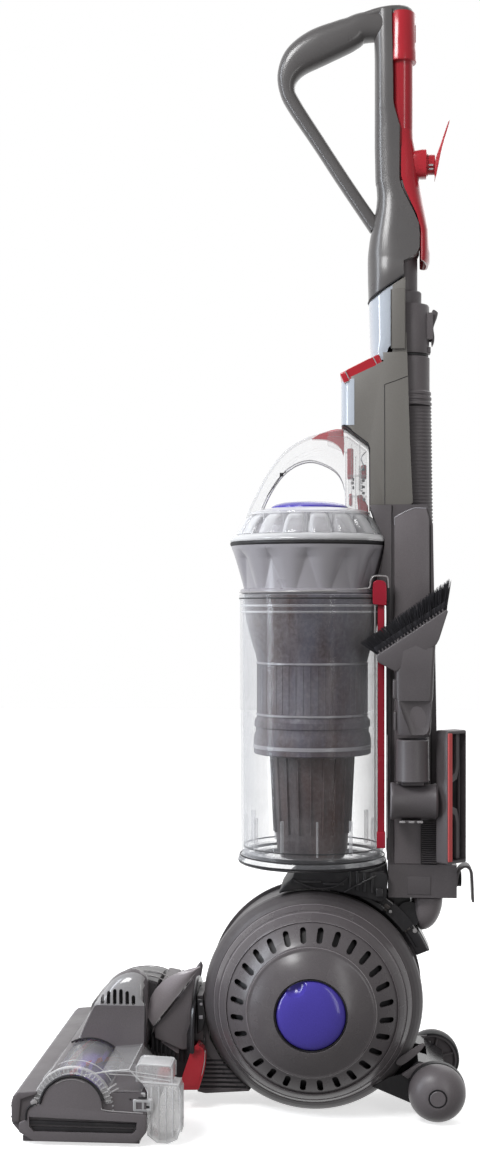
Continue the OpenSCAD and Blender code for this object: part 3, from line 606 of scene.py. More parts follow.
def crescent(z, yf, yr, w, dz=0.0):
    n, t = 22, 1.8
    out, inn = [], []
    for i in range(n + 1):
        a = pi * i / n
        out.append(P(w * cos(a), yf + (yr - yf) * sin(a) ** 0.9, z - dz * sin(a)))
        inn.append(P((w - t) * cos(a), yf + (yr - yf - t) * sin(a) ** 0.9, z - dz * sin(a)))
    return out + inn[::-1]


skirt = loft("skirt", [crescent(*q) for q in ((946, 84.8, 96.2, 11.4), (936, 85.4, 96.6, 12.2),
    (925, 84.6, 99, 14),
    (912, 84.4, 101, 15.3), (899, 84.4, 102, 16.4), (886, 88, 104, 17.6), (872, 94, 106.8, 19.6),
    (860, 99.4, 109.4, 21.4), (846, 103.2, 111.8, 23), (828, 103.2, 112.6, 24.2),
    (819, 103.2, 112.2, 24.4, 2.5), (815.4, 103.4, 110.6, 24.2, 3))])
boss = loft("boss", [[P(x, y, 913 + zz) for x, zz in oval(a, b, 3.2, 36)] for y, a, b in (
    (93, 9, 10.5), (98, 10, 12.8), (104, 10.4, 14), (109, 10.4, 14), (109.4, 9.6, 13))])
wg = join("wand_red", [tube, skirt, boss])
put(wg, "wand", "red", "wand_grip", "wand_grip")
cap = lathe("capb", [(0, 1011.6), (13.6, 1011.6), (14.1, 1012.4), (14.1, 1021), (13.7, 1023.4), (13.5, 1027),
    (13.5, 1058.6), (12.9, 1059.9), (11.5, 1060.5), (0, 1060.5)],
            P(0, 84.2, 0), "Z", 64)
for v in cap.data.vertices:
    v.co.x *= 1.12; v.co.y += (v.co.y - P(0, 84.2, 0).y) * 0.08 + 0.0002
tab = block("tab", -5.4, 5.4, 96, 98.9, 1030, 1048, 1.2)
put(join("cap", [cap, tab]), "cap", "red", "wand_cap", "wand_cap")
hub = lathe("hub", [(0, 104), (9.2, 104), (9.2, 110.6), (8.4, 111), (8.4, 116.6), (7.8, 117.4), (0, 117.4)],
    P(0, 0, 914), "Y", 48)
for v in hub.data.vertices:
    if v.co.z < 0.914: v.co.z = (v.co.z - 0.914) * 1.35 + 0.914
slots = [block("s", 8.4, 10, 111.2, 115.6, z, z + 1.4, 0) for z in (905.4, 909.2)]
fin = prism("fin", smooth_loop([(117, 900), (118.4, 899.6), (120.4, 909), (124.4, 928), (130.9, 950.2),
    (129.7, 950.6), (122.2, 929), (117.6, 915)], 4), -9.6, 9.6, 0.5, 2)
put(join("hook", [hub, fin]), "hook", "red", "cord_hook_upper", "cord_hook_upper")
put(join("hook_marks", slots), "hook", "flap", "cord_hook_upper")


# ------------------------------------------------------------------ upper duct, panel, socket, cuffs, hose
def rounded_rect(x1, y0, y1, rf):
    """Plan outline (x, y) with round front corners."""
    rb, n = 2.0, 8
    pts = []
    for cx, cy, r, a0 in ((x1 - rf, y0 + rf, rf, -90), (x1 - rb, y1 - rb, rb, 0), (-x1 + rb, y1 - rb, rb, 90),
            (-x1 + rf, y0 + rf, rf, 180)):
        for i in range(n + 1):
            a = radians(a0 + 90 * i / n)
            pts.append((cx + r * cos(a), cy + r * sin(a)))
    return pts


low = prism("duct", rounded_rect(29.8, 27, 97, 13), 570, 726, axis="Z")
cut(low, prism("p", [(20, 656), (30, 656), (33, 654.6), (52.6, 639.6), (54.6, 635), (54.8, 577.6),
    (69, 577.6), (69, 579), (92, 579),
    (95.4, 582), (92.6, 640), (90, 726), (60, 726), (60, 713.6), (20, 695.4)], -40, 40), op="INTERSECT")
bore = lathe("b", [(0, 560), (22.6, 560), (22.6, 735), (0, 735)], AT_HOSE, seg=64)
inlet = block("b", -20, 20, 60, 66, 575, 690, 0)
pocket = prism("b", [(20, 695.6), (67, 717.4), (67, 740), (20, 740)], -40, 40)
cut(low, bore, inlet, pocket)
bevel(low, 0.9, 2)
put(low, "upright", "duct", "duct_upper", "duct_upper")
# pale blue-grey front skin, its colour a painted reflection of the window on the grey gloss plastic; gasket
# under it, and seams
painted_reflection_skin = prism("painted_reflection_skin", rounded_rect(30.05, 26.7, 60, 13.2), 656.6, 701, axis="Z")
cut(painted_reflection_skin, prism("p", [(20, 656.8), (29, 656.8), (33, 655.2), (39.4, 650.6), (39.4, 704.6), (20, 695.6)], -40,
    40), op="INTERSECT")
cut(painted_reflection_skin, prism("p", rounded_rect(29.2, 27.6, 70, 12.4), 640, 720, axis="Z"))
put(painted_reflection_skin, "upright", "front", "duct_upper")
gk = prism("gk", [(27.4, 656.6), (30, 655), (33, 653.4), (51.8, 639), (53.6, 634.6), (53.7, 577), (54.9, 577),
    (54.9, 635),
    (53.2, 639.8), (33.6, 655), (30, 657)], -29.4, 29.4)
put(gk, "upright", "black", "duct_upper")
sm = [wire("s", [P(s * 29.85, y, z) for y, z in q], 0.32, 6, per=1) for s in SIDES for q in (
    [(68.6, 579), (68.4, 640), (68.2, 695)], [(68.2, 695), (80, 699), (90.4, 703)],
    [(56, 579.4), (68.6, 579.4)])]
put(join("seams", sm), "upright", "black", "duct_upper")
# socket: rounded front shell on a flat sided neck
neck = prism("neck", [(76, 708), (90.2, 708), (88.6, 798.6), (85.6, 797), (76, 791)], -28.2, 28.2)
cut(neck, lathe("b", [(0, 700), (14.2, 700), (14.2, 830), (0, 830)], AT_WAND, seg=48),
    lathe("b", [(0, 700), (21.4, 700), (21.4, 735), (0, 735)], AT_HOSE, seg=48),
    block("b", -40, 40, 88.4, 130, 745, 830, 0))
bevel(neck, 1.4, 3)
put(neck, "upright", "duct", "duct_upper")
# the socket's front carries the same painted reflection
sock = loft("sock", [c_ring(*q) for q in ((719, 55, 27.6, 70), (730, 54.6, 28.6, 72.5), (735, 54.4, 29.0, 77),
    (741, 54.2, 29.6, 80.6),
    (760, 53.7, 29.4, 81.4), (776.4, 53.2, 27.4, 82.4, SHROUD_SLOPE))])
put(sock, "upright", "front", "wand_socket", "wand_socket")
put(join("sock_rear", [block("sr", s * 28.3, s * 30.9, 74.6, 88.2, 729, 787, 1.0) for s in SIDES]), "upright",
    "duct", "wand_socket")
put(join("sock_seams", [wire("s", [P(s * 31.0, 74.4, 730), P(s * 31.0, 74.4, 786)], 0.35, 6, per=1)
    for s in SIDES]
    + [wire("s", [P(s * x, y, 778.4 + SHROUD_SLOPE * (y - 53.2))
    for x, y in ((0.1, 52.8), (16, 54.6), (25, 60), (28, 68), (28.6, 78), (28.6, 87))], 0.8, 8)
    for s in SIDES]), "upright", "black", "wand_socket")

# switch panel: slanted red frame with two buttons
BOX_FACES = [(0, 1, 2, 3), (7, 6, 5, 4), (0, 4, 5, 1), (1, 5, 6, 2), (2, 6, 7, 3), (3, 7, 4, 0)]


def slant(x, u, v):
    """u along the panel from its front edge, v square to it."""
    a = atan2(18.6, 37.6)
    return P(x, 28.2 + u * cos(a) - v * sin(a), 699.6 + u * sin(a) + v * cos(a))


def slab(x0, x1, u0, u1, v0, v1, bev=0.8, seg=3):
    vs = [slant(x, u, v) for x in sorted((x0, x1)) for u, v in ((u0, v0), (u1, v0), (u1, v1), (u0, v1))]
    o = new_obj("slab", vs, BOX_FACES)
    return bevel(o, bev, seg) if bev else o


base = slab(-29.2, 29.2, 0.2, 42, -3.8, 7.2, 1.6)
cut(base, *[slab(-23, -2.6, 7, 34.6, 1.2, 12, 0), slab(2.6, 23, 7, 34.6, 1.2, 12, 0)])
for s in SIDES:
    cut(base, slab(s * 29.4 - 1.0, s * 29.4 + 1, 6.4, 35.2, -1, 8, 0))
put(base, "upright", "red", "switch_panel", "switch_panel")
put(join("panel_glints", [slab(s * 29.3 - 0.4, s * 29.3 + 0.1, u, u + 1.0, -2.6, 6.6, 0.2) for s in SIDES
    for u in (5.6, 35.4)]
    + [slab(s * 29.35 - 0.5, s * 29.35 + 0.1, 0.6, 41.4, -3.8, -3.1, 0.2) for s in SIDES]), "upright", "flap",
    "switch_panel")
for s, n, b in ((1, "power_button", "power_switch"), (-1, "brush_button", "brush_switch")):
    put(join(n, [slab(s * 3.2, s * 22.4, 7.7, 33.9, 3.6, 8.4, 1.6, 4)]), b, "orange", n, n)
    put(join(n + "_dot", [slab(s * 12.8 - 2.4, s * 12.8 + 2.4, 18.4, 23.2, 8.2, 8.75, 0.3)]), b, "flap", n)

# hose cuffs
cu = lathe("cu", [(14, 727.4), (20.2, 727.4), (20.6, 728.2), (20.6, 773.4), (19.6, 775), (17.2, 775.6),
    (17, 776.6), (17, 786.8), (16.2, 788), (14, 788.4)],
           P(0, 91.4, 0), seg=72)
for v in cu.data.vertices:
    if v.co.z > 0.7752: v.co.y -= 0.004
cu2 = block("c", -8, 8, 107, 113.2, 728, 734, 0.8)
lugs = [block("c", s * 9 - 1.4, s * 9 + 1.4, 106, 115.4, 741, 767, 0.8) for s in SIDES]
cut(cu, lathe("b", [(0, 700), (13.56, 700), (13.56, 830), (0, 830)], AT_WAND, seg=48))
put(join("cuff", [cu, cu2] + lugs), "upright", "grey", "hose_cuff_upper", "hose_cuff_upper")
cl = lathe("cl", [(14, 677.2), (21.6, 677.2), (22.6, 678), (22.6, 679.8), (21.4, 681), (21.4, 682.2),
    (22.4, 683), (22.4, 685), (21.2, 686),
    (21.2, 687.2), (22, 688), (22, 690), (20.8, 691.2), (20.6, 693), (20.6, 723.4), (19.8, 724.4),
    (18, 724.6), (18, 727), (14, 727)], P(0, 91.8, 0), seg=72)
cut(cl, lathe("b", [(0, 660), (13.56, 660), (13.56, 830), (0, 830)], AT_WAND, seg=48))
put(cl, "upright", "grey", "hose_cuff_lower", "hose_cuff_lower")
put(lathe("ring", [(17, 724.9), (19.6, 724.9), (19.6, 726.9), (17, 726.9)], P(0, 91.5, 0), seg=64), "upright",
    "black", "hose_cuff_lower")
put(prism("catch", smooth_loop([(114.1, 738), (116.2, 738), (116.8, 744), (115.9, 752), (117.4, 758),
    (119.8, 764.6), (119.6, 768), (114.2, 768)], 4), -6.6, 6.6, 0.5),
    "cuff_latch", "tool", "cuff_catch", "cuff_catch")
# hose with its fine ribs
HOSE_RIBS, RIB_PITCH, HOSE_LEAN = 124, 3.41, radians(0.75)
prof = []
for i in range(HOSE_RIBS):
    h = -i * RIB_PITCH
    prof += [(17.7, h), (18.5, h - 0.9), (18.5, h - 1.9), (17.7, h - 2.8)]
prof += [(17.7, -HOSE_RIBS * RIB_PITCH), (13.6, -HOSE_RIBS * RIB_PITCH), (13.6, 0)]
hs = lathe("hose", prof, Vector((0, 0, 0)), seg=48, angle=60)
hs.data.transform(Matrix.Translation(P(0, 95.6, 676.3)) @ Matrix.Rotation(HOSE_LEAN, 4, "X"))
put(hs, "upright", "hose", "hose", "hose")


# ------------------------------------------------------------------ cyclone pack, crown, carry handle
LOBES, POCKETS = 12, 16
CONE_Z, CROWN_Z, CROWN_H, CROWN_WALL = 497, 551, 21.5, 2.2


def round_ring(radius, seg, z):
    """Ring of P points round the cyclone axis; radius is a function of the angle."""
    turns = [2 * pi * i / seg for i in range(seg)]
    return [P(radius(a) * cos(a), CYC_Y + radius(a) * sin(a), z) for a in turns]


def cone_radius(a, z):
    """Wide tongue-shaped lobes; between them facets that open downward and lie deepest at their tops."""
    t = min(1, max(0, (z - CONE_Z) / 44))
    base = 64.8 + 12.2 * t ** 1.08
    step = 2 * pi / LOBES
    u = 1 - abs(((a / step + 0.5) % 1) - 0.5) * 2      # 1 at a crease, 0 in the middle of a lobe
    half = 0.34 + 0.66 * min(1, t / 0.78)
    deep = 0.9 + 5.0 * min(t, 0.72)
    if t > 0.72: deep *= max(0, 1 - ((t - 0.72) / 0.2)) ** 0.8
    k = min(1, u / half)
    return base - deep * k ** 2.2


cone_rings = [round_ring(lambda a: cone_radius(a, z), LOBES * 32, z)
    for z in [CONE_Z + 1.1 * i for i in range(41)]]
put(loft("cones", cone_rings, 24), "bin", "silver", "cyclone_cones", "cyclone_cones")
put(lathe("gasket", [(74, 540.6), (77.3, 541.4), (77.9, 542.6), (77.7, 544.4), (74, 544.6)], AT_CYC, seg=128),
    "bin", "black", "cyclone_cones")
put(lathe("foot", [(60, 494.4), (66.6, 494.4), (67.8, 495.6), (67.8, 498.4), (65.4, 499.6), (60, 499.6)],
    AT_CYC, seg=128), "bin", "silver", "cyclone_shroud")


def crown_wall(a, h):
    """h 0..1 up the crown: round-cornered pockets standing on a thick ring."""
    u = abs(((a / (2 * pi) * POCKETS) % 1) - 0.5) * 2
    w = 0.84 * (1 - max(0, (h - 0.55) / 0.45) ** 3 * 0.45)
    lobe = max(0, 1 - (u / w) ** 4) ** 0.5 if u < w else 0
    base = 72.6 - 14.0 * h ** 1.3
    up = min(1, h / 0.05) * (1 if h < 0.74 else max(0, 1 - ((h - 0.74) / 0.26) ** 2) ** 0.5)
    return base - 8.2 + 8.2 * lobe * up


seg = POCKETS * 24
hs = [0, 0.03, 0.06, 0.12, 0.2, 0.35, 0.5, 0.62, 0.7, 0.76, 0.82, 0.87, 0.91, 0.95, 0.98, 1.0]
rings = [round_ring(lambda a: crown_wall(a, h), seg, CROWN_Z + CROWN_H * h) for h in hs]
rings += [round_ring(lambda a: crown_wall(a, h) - CROWN_WALL, seg, CROWN_Z
    + CROWN_H * h - (1.6 if h > 0.9 else 0))
          for h in reversed(hs)]
faces = []
for j in range(len(rings)):
    a, b = j * seg, ((j + 1) % len(rings)) * seg
    faces += [(a + i, a + (i + 1) % seg, b + (i + 1) % seg, b + i) for i in range(seg)]
wall = new_obj("crown_wall", [p for ring in rings for p in ring], faces, 30)
brim = lathe("brim", [(58, 545), (77.6, 545), (78.2, 546.4), (77.6, 548.2), (75.4, 550.4), (71.6, 551.6),
    (66, 552.4), (58, 552)], AT_CYC, seg=128)
top = lathe("top", [(59.6, 571.4), (58.6, 573.6), (54, 575.4), (44, 577.2), (36, 578.4), (34, 578.2),
    (34, 576.4), (44, 575.2), (54, 573)], AT_CYC, seg=96)
ribs = [spun(block("rib", 36, 60, -0.7, 0.7, 548, 571, 0.3), AT_CYC, 2 * pi * i / POCKETS)
    for i in range(POCKETS)]
put(join("crown", [wall, top] + ribs), "bin", "crown", "cyclone_crown", "cyclone_crown")
put(brim, "bin", "rim", "cyclone_crown")
put(lathe("crown_core", [(0, 546), (57, 546), (55, 560), (46, 570), (36, 574), (0, 575)], AT_CYC, seg=96),
    "bin", "silver", "cyclone_crown")
put(lathe("lens", [(36.5, 575.5), (38, 577), (37.4, 579.4), (33.5, 581.6), (27, 583.2), (22, 583.6),
    (22, 581.8), (30, 578)], AT_CYC, seg=96), "bin", "purple", "cyclone_ring", "cyclone_ring")
put(lathe("lens_top", [(0, 585.2), (14, 584.8), (25, 583.6), (33, 581.6), (37, 579.2), (36.6, 578.4),
    (26, 581), (0, 582.4)], AT_CYC, seg=96), "bin", "crown", "cyclone_ring")

# clear carry handle: C-section arch, hollow rear column, release mechanism inside
outer = smooth_line([(-69.5, 556), (-64, 575), (-57, 590), (-44, 614), (-28, 633.5), (-8, 646), (13, 652),
    (26.4, 653.8)], 7)
inner = smooth_line([(30.6, 570), (30, 590), (27.4, 604), (20, 614.6), (6, 622), (-6, 624), (-20, 619.5),
    (-33, 608.6), (-45, 590), (-52.4, 572), (-56, 556)], 7)
arch = prism("arch", outer + [(31, 653.2), (52, 637), (53.8, 633), (54.2, 600), (54.4, 578), (55, 560),
    (56, 551), (31, 551)] + inner, -13.8, 13.8, 3.0, 4)
hollow = prism("h", [(33, 560), (51.6, 560), (51.6, 633), (33, 647.4), (13, 647.4), (13, 640), (33, 632)],
    -11.8, 11.8)
slot = prism("h", [(14, 640), (26.8, 640), (26.8, 660), (14, 660)], -7.6, 7.6)
groove = smooth_line([(-62, 560), (-50, 590), (-36, 610), (-20, 626), (0, 635), (8, 636)], 5)
groove += smooth_line([(8, 630), (-4, 630), (-20, 622), (-34, 608), (-47, 588), (-57, 560)], 5)
cut(arch, hollow, slot, prism("h", groove, 12.4, 16), prism("h", groove, -16, -12.4))
put(arch, "bin", "arch", "bin_handle", "bin_handle")
# thin pale lines painted as highlights on the arch's inner edges
put(join("arch_edge_painted_highlights", [edge_wire(s * 12.6, inner[10:-8], 0.45, 6) for s in SIDES]), "bin", "flap",
    "bin_handle")
put(join("arch_clip", [wire("e", [P(13.4, -45.6, 589.2), P(13.6, -38, 600), P(13.6, -31.5, 609.4),
    P(13.4, -27, 613.4)], 0.42, 8, per=4),
    block("d", 12.4, 14.2, -33.2, -29.6, 608.6, 612.2, 0.6)]), "bin", "black", "bin_handle")
# column fittings
pl = [block("p", -11, 11, 30.4, 31.4, 566, 632, 0.3), block("p", -11.4, 11.4, 40, 41, 560, 628, 0.3),
      block("p", 10.6, 11.6, 33, 51, 588, 590, 0.3), block("p", 10.4, 11.6, 33, 51, 608, 610, 0.3),
      block("p", 9, 11.6, 44, 45.2, 572, 640, 0.3), block("p", 9, 11.6, 36, 37, 580, 640, 0.3)]
put(join("column_ribs", pl), "bin", "crown", "bin_handle")
put(join("column_metal", [wire("sp", [P(7 + 2.2 * cos(i * 1.05), 45.6 + 2.2 * sin(i * 1.05), 594 + i * 0.42)
    for i in range(60)], 0.35, 6, per=1),
    wire("sp", [P(10.6, 44, 612), P(11.2, 48, 618), P(11.2, 46, 626), P(10.4, 50, 632)], 0.5, 8),
    *[lathe("pin", [(0, 9), (r, 9), (r, 12.4), (0, 12.6)], P(0, y, z), "X", 20)
      for r, y, z in ((1.6, 37.6, 602), (1.6, 48.6, 586), (1.3, 48, 606))]]), "bin", "zinc", "bin_handle")
put(join("column_dark", [block("k", 8, 11.4, 46.6, 49.4, z, z + 2.4, 0.5) for z in (591, 597, 603, 614)]
    + [block("k", 8, 11.4, 37.4, 39.2, z, z + 3.2, 0.5) for z in (596, 604)]), "bin", "black", "bin_handle")
lever = join("lever", [
    prism("l", smooth_line([(-2.4, 645.6), (6, 650.4), (14, 653.2), (22, 654.8), (28.6, 654.6)], 5)
          + [(29.4, 640), (29, 632)] + smooth_line([(28.4, 629), (26, 636), (20, 641.4), (12, 644.6),
          (4, 645.4)], 5), -7.2, 7.2, 1.2, 3),
    block("l", -5.4, 9.6, 32.4, 38.4, 606, 636, 1.4), block("l", -5.4, 10.4, 46, 51, 606, 620, 1.6),
    block("l", -5.4, 10, 34.2, 37.4, 580, 592, 1.2),
    prism("l", [(41.6, 590), (46.4, 591), (52.4, 580), (53.2, 570), (49, 567), (43, 576)], -5, 11, 1.2, 3)])
put(lever, "trigger", "red", "bin_trigger", "bin_trigger")
# release rod with its catch
rod = join("rod", [block("r", 38.9, 41.8, 61.6, 68.2, 256, 486, 0.8),
    block("r", 38.9, 43.6, 60.8, 69, 252, 268, 1.0),
    prism("c", smooth_loop([(57.2, 486), (60, 484), (69, 483.2), (70.2, 486), (70.2, 500), (68.6, 505.6),
    (64, 507.2), (59, 506.4), (57, 502)], 3), 38.8, 46, 1.4, 4)])
put(rod, "rod", "rodred", "bin_rod", "bin_rod")
bail = [(45.4, 22, 497.2), (47, 40, 498.4), (46.9, 50, 499.2), (46.8, 54.2, 500.6), (46.8, 55.2, 507),
    (46.8, 58, 510.8), (46.4, 66, 511.2), (46, 71.2, 509.4), (45, 72, 500)]
front = [(68.4 * cos(a), CYC_Y + 68.4 * sin(a), 496.6 + 0.8 * sin(a))
    for a in [radians(d) for d in range(-176, 26, 8)]]
put(join("bail", [wire("b", [P(*q) for q in bail], 0.85, 8),
    wire("b", [P(*q) for q in front], 0.7, 8, per=1)]), "bin", "flap", "bin_body")
put(block("rest", 40, 45, 70.2, 73, 486, 508, 0.8), "bin", "black", "bin_body")


# ------------------------------------------------------------------ bin and what stands in it
def hoop(r, z, w, *rise):
    """Thin ring round the bin: w wide from radius r, at three heights above z."""
    a, b, c = rise
    return lathe("hoop", [(r, z), (r + w, z + a), (r + w, z + b), (r, z + c)], AT_BIN, seg=120)


bw = lathe("bw", [(68.6, 240.2), (69.6, 244), (70.2, 300), (70.9, 486), (71.6, 489), (71.6, 493.4),
    (70.6, 494), (68.4, 494), (68.2, 486), (67.4, 300), (66.6, 244)],
           AT_BIN, seg=144)
put(bw, "bin", "clear", "bin_body", "bin_body")
ribs = [spun(block("rib", 63, 67.4, -0.8, 0.8, 246, 279, 0.4), AT_BIN, radians(d + 6))
    for d in range(0, 360, 30)]
lines = [hoop(69.9, z, 0.7, 0.4, 1.6, 2) for z in (476, 482)]
put(join("bin_ribs", ribs + lines), "bin", "crown", "bin_body")
guide = join("guide", [block("g", 40.5, 44.4, 58.4, 59.8, 262, 484, 0.4),
    block("g", 39.4, 43.4, 70, 71.2, 262, 360, 0.3)])
put(guide, "bin", "flap", "bin_body")
bs = lathe("bs", [(0, 234.4), (40, 234.4), (58, 232.2), (68, 232.2), (71.4, 233), (72, 235.4), (71.4, 238.4),
    (70.4, 240), (66, 240.2), (65, 245), (64, 245), (63.6, 238), (40, 237.4), (0, 237.4)],
           AT_BIN, seg=144)
rings = [lathe("r", [(r, 237), (r + 1.2, 237), (r + 1.2, 241), (r, 241)], AT_BIN, seg=96) for r in (48, 55)]
put(join("bin_door_c", [bs] + rings), "bin_door", "clear", "bin_base", "bin_base")
put(join("door_lines", [hoop(r, z, 0.4, 0.3, 1.0, 1.3)
    for r, z in ((71.9, 234.2), (68.8, 232.0), (57.6, 236.9), (48.6, 236.9))]), "bin_door", "black",
    "bin_base")
put(join("door_seal", [lathe("s", [(64.6, 240.4), (66.4, 240.4), (66.4, 243), (64.6, 243)], AT_BIN, seg=120),
    lathe("s", [(69.6, 231.8), (72.1, 233.2), (71.2, 234.4), (69.2, 233)], AT_BIN, seg=120)]), "bin_door",
    "dark", "bin_base")
put(join("door_hinge", [lathe("h", [(0, -14), (2.6, -14), (2.6, 14), (0, 14)], P(0, -74.2, 237), "X", 24)]
    + [block("h", s - 3, s + 3, -73, -68, 233, 240, 0.8) for s in (-10, 0, 10)]), "bin_door", "clear",
    "bin_base")
put(join("door_catch", [block("c", 30, 44, 57, 66, 240.6, 251, 1.0)]), "bin_door", "clear", "bin_base")
# dusty shroud: collar, perforated band, skirt
prof = [(40.4, 338.6), (56, 338.6), (57.2, 339.6), (57.4, 352), (56.6, 357.6), (55.4, 360), (55.4, 364),
    (56.6, 365.4), (56.6, 371), (55, 373.4),
        (53.8, 375.4), (53.8, 428), (55.6, 436), (59.6, 449), (64.6, 468), (66.2, 480), (66.4, 494.2),
        (62, 496.4), (40, 496.4), (49, 433), (49, 376), (40.4, 358)]
put(lathe("shroud", prof, AT_BIN, seg=128), "bin", "shroud", "cyclone_shroud", "cyclone_shroud")
SHROUD_RIBS, FLUTES = 48, 20
turns = [2 * pi * i / SHROUD_RIBS for i in range(SHROUD_RIBS)]
put(join("shroud_ribs", [wire("v", [P(53.9 * cos(a), BIN_Y + 53.9 * sin(a), z) for z in (379, 426)], 0.5, 6,
    per=1)
    for a in turns]), "bin", "shroud", "cyclone_shroud")
put(join("bin_dark_lines", [hoop(r, z, 0.35, 0.3, 1.1, 1.4)
    for r, z in ((71.3, 489.4), (70.5, 239.6), (66.8, 248))]), "bin", "black", "bin_body")
put(join("shroud_bands", [hoop(53.9, z, 1.2, 0.4, 1.8, 2.2) for z in (376, 426)]
    + [lathe("b", [(57.2, 344), (57.9, 344.6), (57.9, 347.4), (57.2, 348)], AT_BIN, seg=120)]), "bin",
    "silver", "cyclone_shroud")
fl = []
for i in range(FLUTES):
    o = block("f", 38, 41.6, -0.7, 0.7, 262, 336, 0.4)
    for v in o.data.vertices:
        if v.co.z < 0.3: v.co.x -= 0.0035
    fl.append(spun(o, AT_BIN, 2 * pi * i / FLUTES))
cn = lathe("cn", [(0, 237.6), (31, 237.6), (34.4, 246), (35.6, 262), (38, 300), (39.8, 334), (40.2, 338.2),
    (36, 338.2), (30, 262), (0, 262)], AT_BIN, seg=96)
put(join("cone", [cn] + fl), "bin", "cone", "inner_cone", "inner_cone")
# seat between the bin and the ball
seat = prism("seat", [(-17, 229.6), (-20, 222), (-28, 215), (-34, 206), (-30, 202), (0, 212.8), (30, 209),
    (66, 200), (70, 204), (71.6, 226), (68, 229.6)], -42, 42)
cut(seat, lathe("b", [(0, -60), (107.6, -60), (107.6, 60), (0, 60)], AT_BALL, "X", 96))
bevel(seat, 1.6, 3)
put(seat, "upright", "black", "bin_seat", "bin_seat")
det = [block("d", *q, 0.8) for q in (
    (36, 43.6, 34, 37, 212, 229), (36, 43.6, 41, 44, 211, 229), (36, 43.6, 48, 51, 210, 229),
    (36, 43.6, 55, 58, 209, 229),
    (38, 44.4, 10, 30, 216, 219), (38, 44, -18, 8, 218, 221), (38, 44.6, 60, 67, 206, 214))]
det += [wire("d", [P(43, -20, 222), P(45, 0, 214), P(44.6, 20, 215), P(44, 34, 224)], 1.0, 8),
    wire("d", [P(43.6, 30, 210), P(45, 44, 218), P(44, 60, 226)], 0.9, 8)]
put(join("seat_detail", det), "upright", "dark", "bin_seat")


# ------------------------------------------------------------------ rear spine, grille, tools, hooks
strips = [prism("st", [(77.6, 236), (103.2, 236), (103.2, 277.6), (112, 279), (111, 566), (108, 576.4),
    (97, 577), (89, 573.8), (77.6, 568)],
                s * 30.9, s * 33.6, 0.9) for s in SIDES]
put(join("strips", strips), "upright", "strip_grey", "spine_lower")
fill = both([(74, 238), (70.4, 240), (70.4, 484), (62.4, 497), (68.2, 541), (68.2, 547), (60, 562),
    (54, 579.4),
    (75, 579.4)], 28.4, 33.0, 0.5, 2)
fill += both([(78, 238), (70.6, 240), (70.6, 478), (78, 482)], 12, 29, 0.4, 2)
put(join("spine_flanks", fill), "upright", "spine", "spine_lower")
# silver lines painted as highlights along the strips' top and the spine's front edge
ed = [edge_wire(s * 33.5, ((77.9, 560), (77.9, 567.4), (89, 573.2), (97, 576.4), (108, 576)), 0.5)
    for s in SIDES]
ed += [edge_wire(s * 31.2, [(73.4, z) for z in (240, 300, 400, 476)], 0.4, 6) for s in SIDES]
put(join("strip_painted_highlights", ed), "upright", "silver", "spine_lower")
put(join("spine_lines", [edge_wire(s * 31.1, q, 0.3, 6) for s in SIDES for q in (
    [(74.6, 500), (74.6, 560), (76, 579)], [(113.4, 290), (112, 560)])]), "upright", "black", "spine_lower")
put(join("box_plate", [block("b", s * 33.7, s * 34.6, 90, 112, 207, 224, 0.4) for s in SIDES]), "upright",
    "spine", "spine_lower")
gr = [block("g", 32.4, 34.2, 103.8, 118.4 - (z - 236) * 0.02, z, z + 1.05, 0.25, 1)
    for z in [237 + 2.05 * i for i in range(20)]]
put(join("grille", gr), "upright", "tool", "rear_grille", "rear_grille")
put(block("gb", 31.1, 32.6, 103.6, 118.4, 235.8, 277.2, 0.2), "upright", "black", "rear_grille")
hk = prism("hk", smooth_line([(137.2, 221), (140, 227.4), (144.5, 231.2), (149.4, 231.4), (152.8, 227.4),
    (154, 220), (154.9, 196.4)], 5)
           + [(152.9, 196.2)] + smooth_line([(152, 219.6), (150.6, 226), (147.6, 229.2), (144.4, 228.8),
           (141, 225), (139, 214), (137.2, 207)], 5), -11.4, 11.4, 0.5, 2)
put(hk, "upright", "grey", "cord_hook_lower", "cord_hook_lower")
# tool holder: backing, peg shelf, clip
th = [block("t", 33.1, 36.4, 79.4, 107.4, 282, 344, 1.2),
    block("t", 35.6, TOOL_X + 6, 84, 104.8, HOLD_Z - 3.2, HOLD_Z, 1.0),
      lathe("t", [(0, HOLD_Z), (13, HOLD_Z), (12.6, HOLD_Z + 34), (0, HOLD_Z + 35)], P(TOOL_X, 94.4, 0),
      seg=40),
      block("t", 35.6, 47, 84, 104, HOLD_Z - 14, HOLD_Z - 2, 1.0),
      block("t", 35.6, 66, 84, 103, HOLD_Z - 38.6, HOLD_Z - 36.2, 0.8)]
put(join("holder", th), "upright", "tool", "tool_holder", "tool_holder")
# pale strips painted as highlights on the holder's edges and the shelf's front end
put(join("holder_painted_highlights", [block("t", 62, 67.4, y, y + 5.4, HOLD_Z - 38.4, HOLD_Z - 36.4, 0.4)
    for y in (82, 90.5, 98.5)]
    + [block("t", 36.2, 37.2, 79.8, 81.2, HOLD_Z - 6, HOLD_Z + 30, 0.4),
    block("t", 36.2, 37.6, 107.6, 110.6, HOLD_Z - 30, HOLD_Z + 40, 0.8)]), "upright", "flap", "tool_holder")
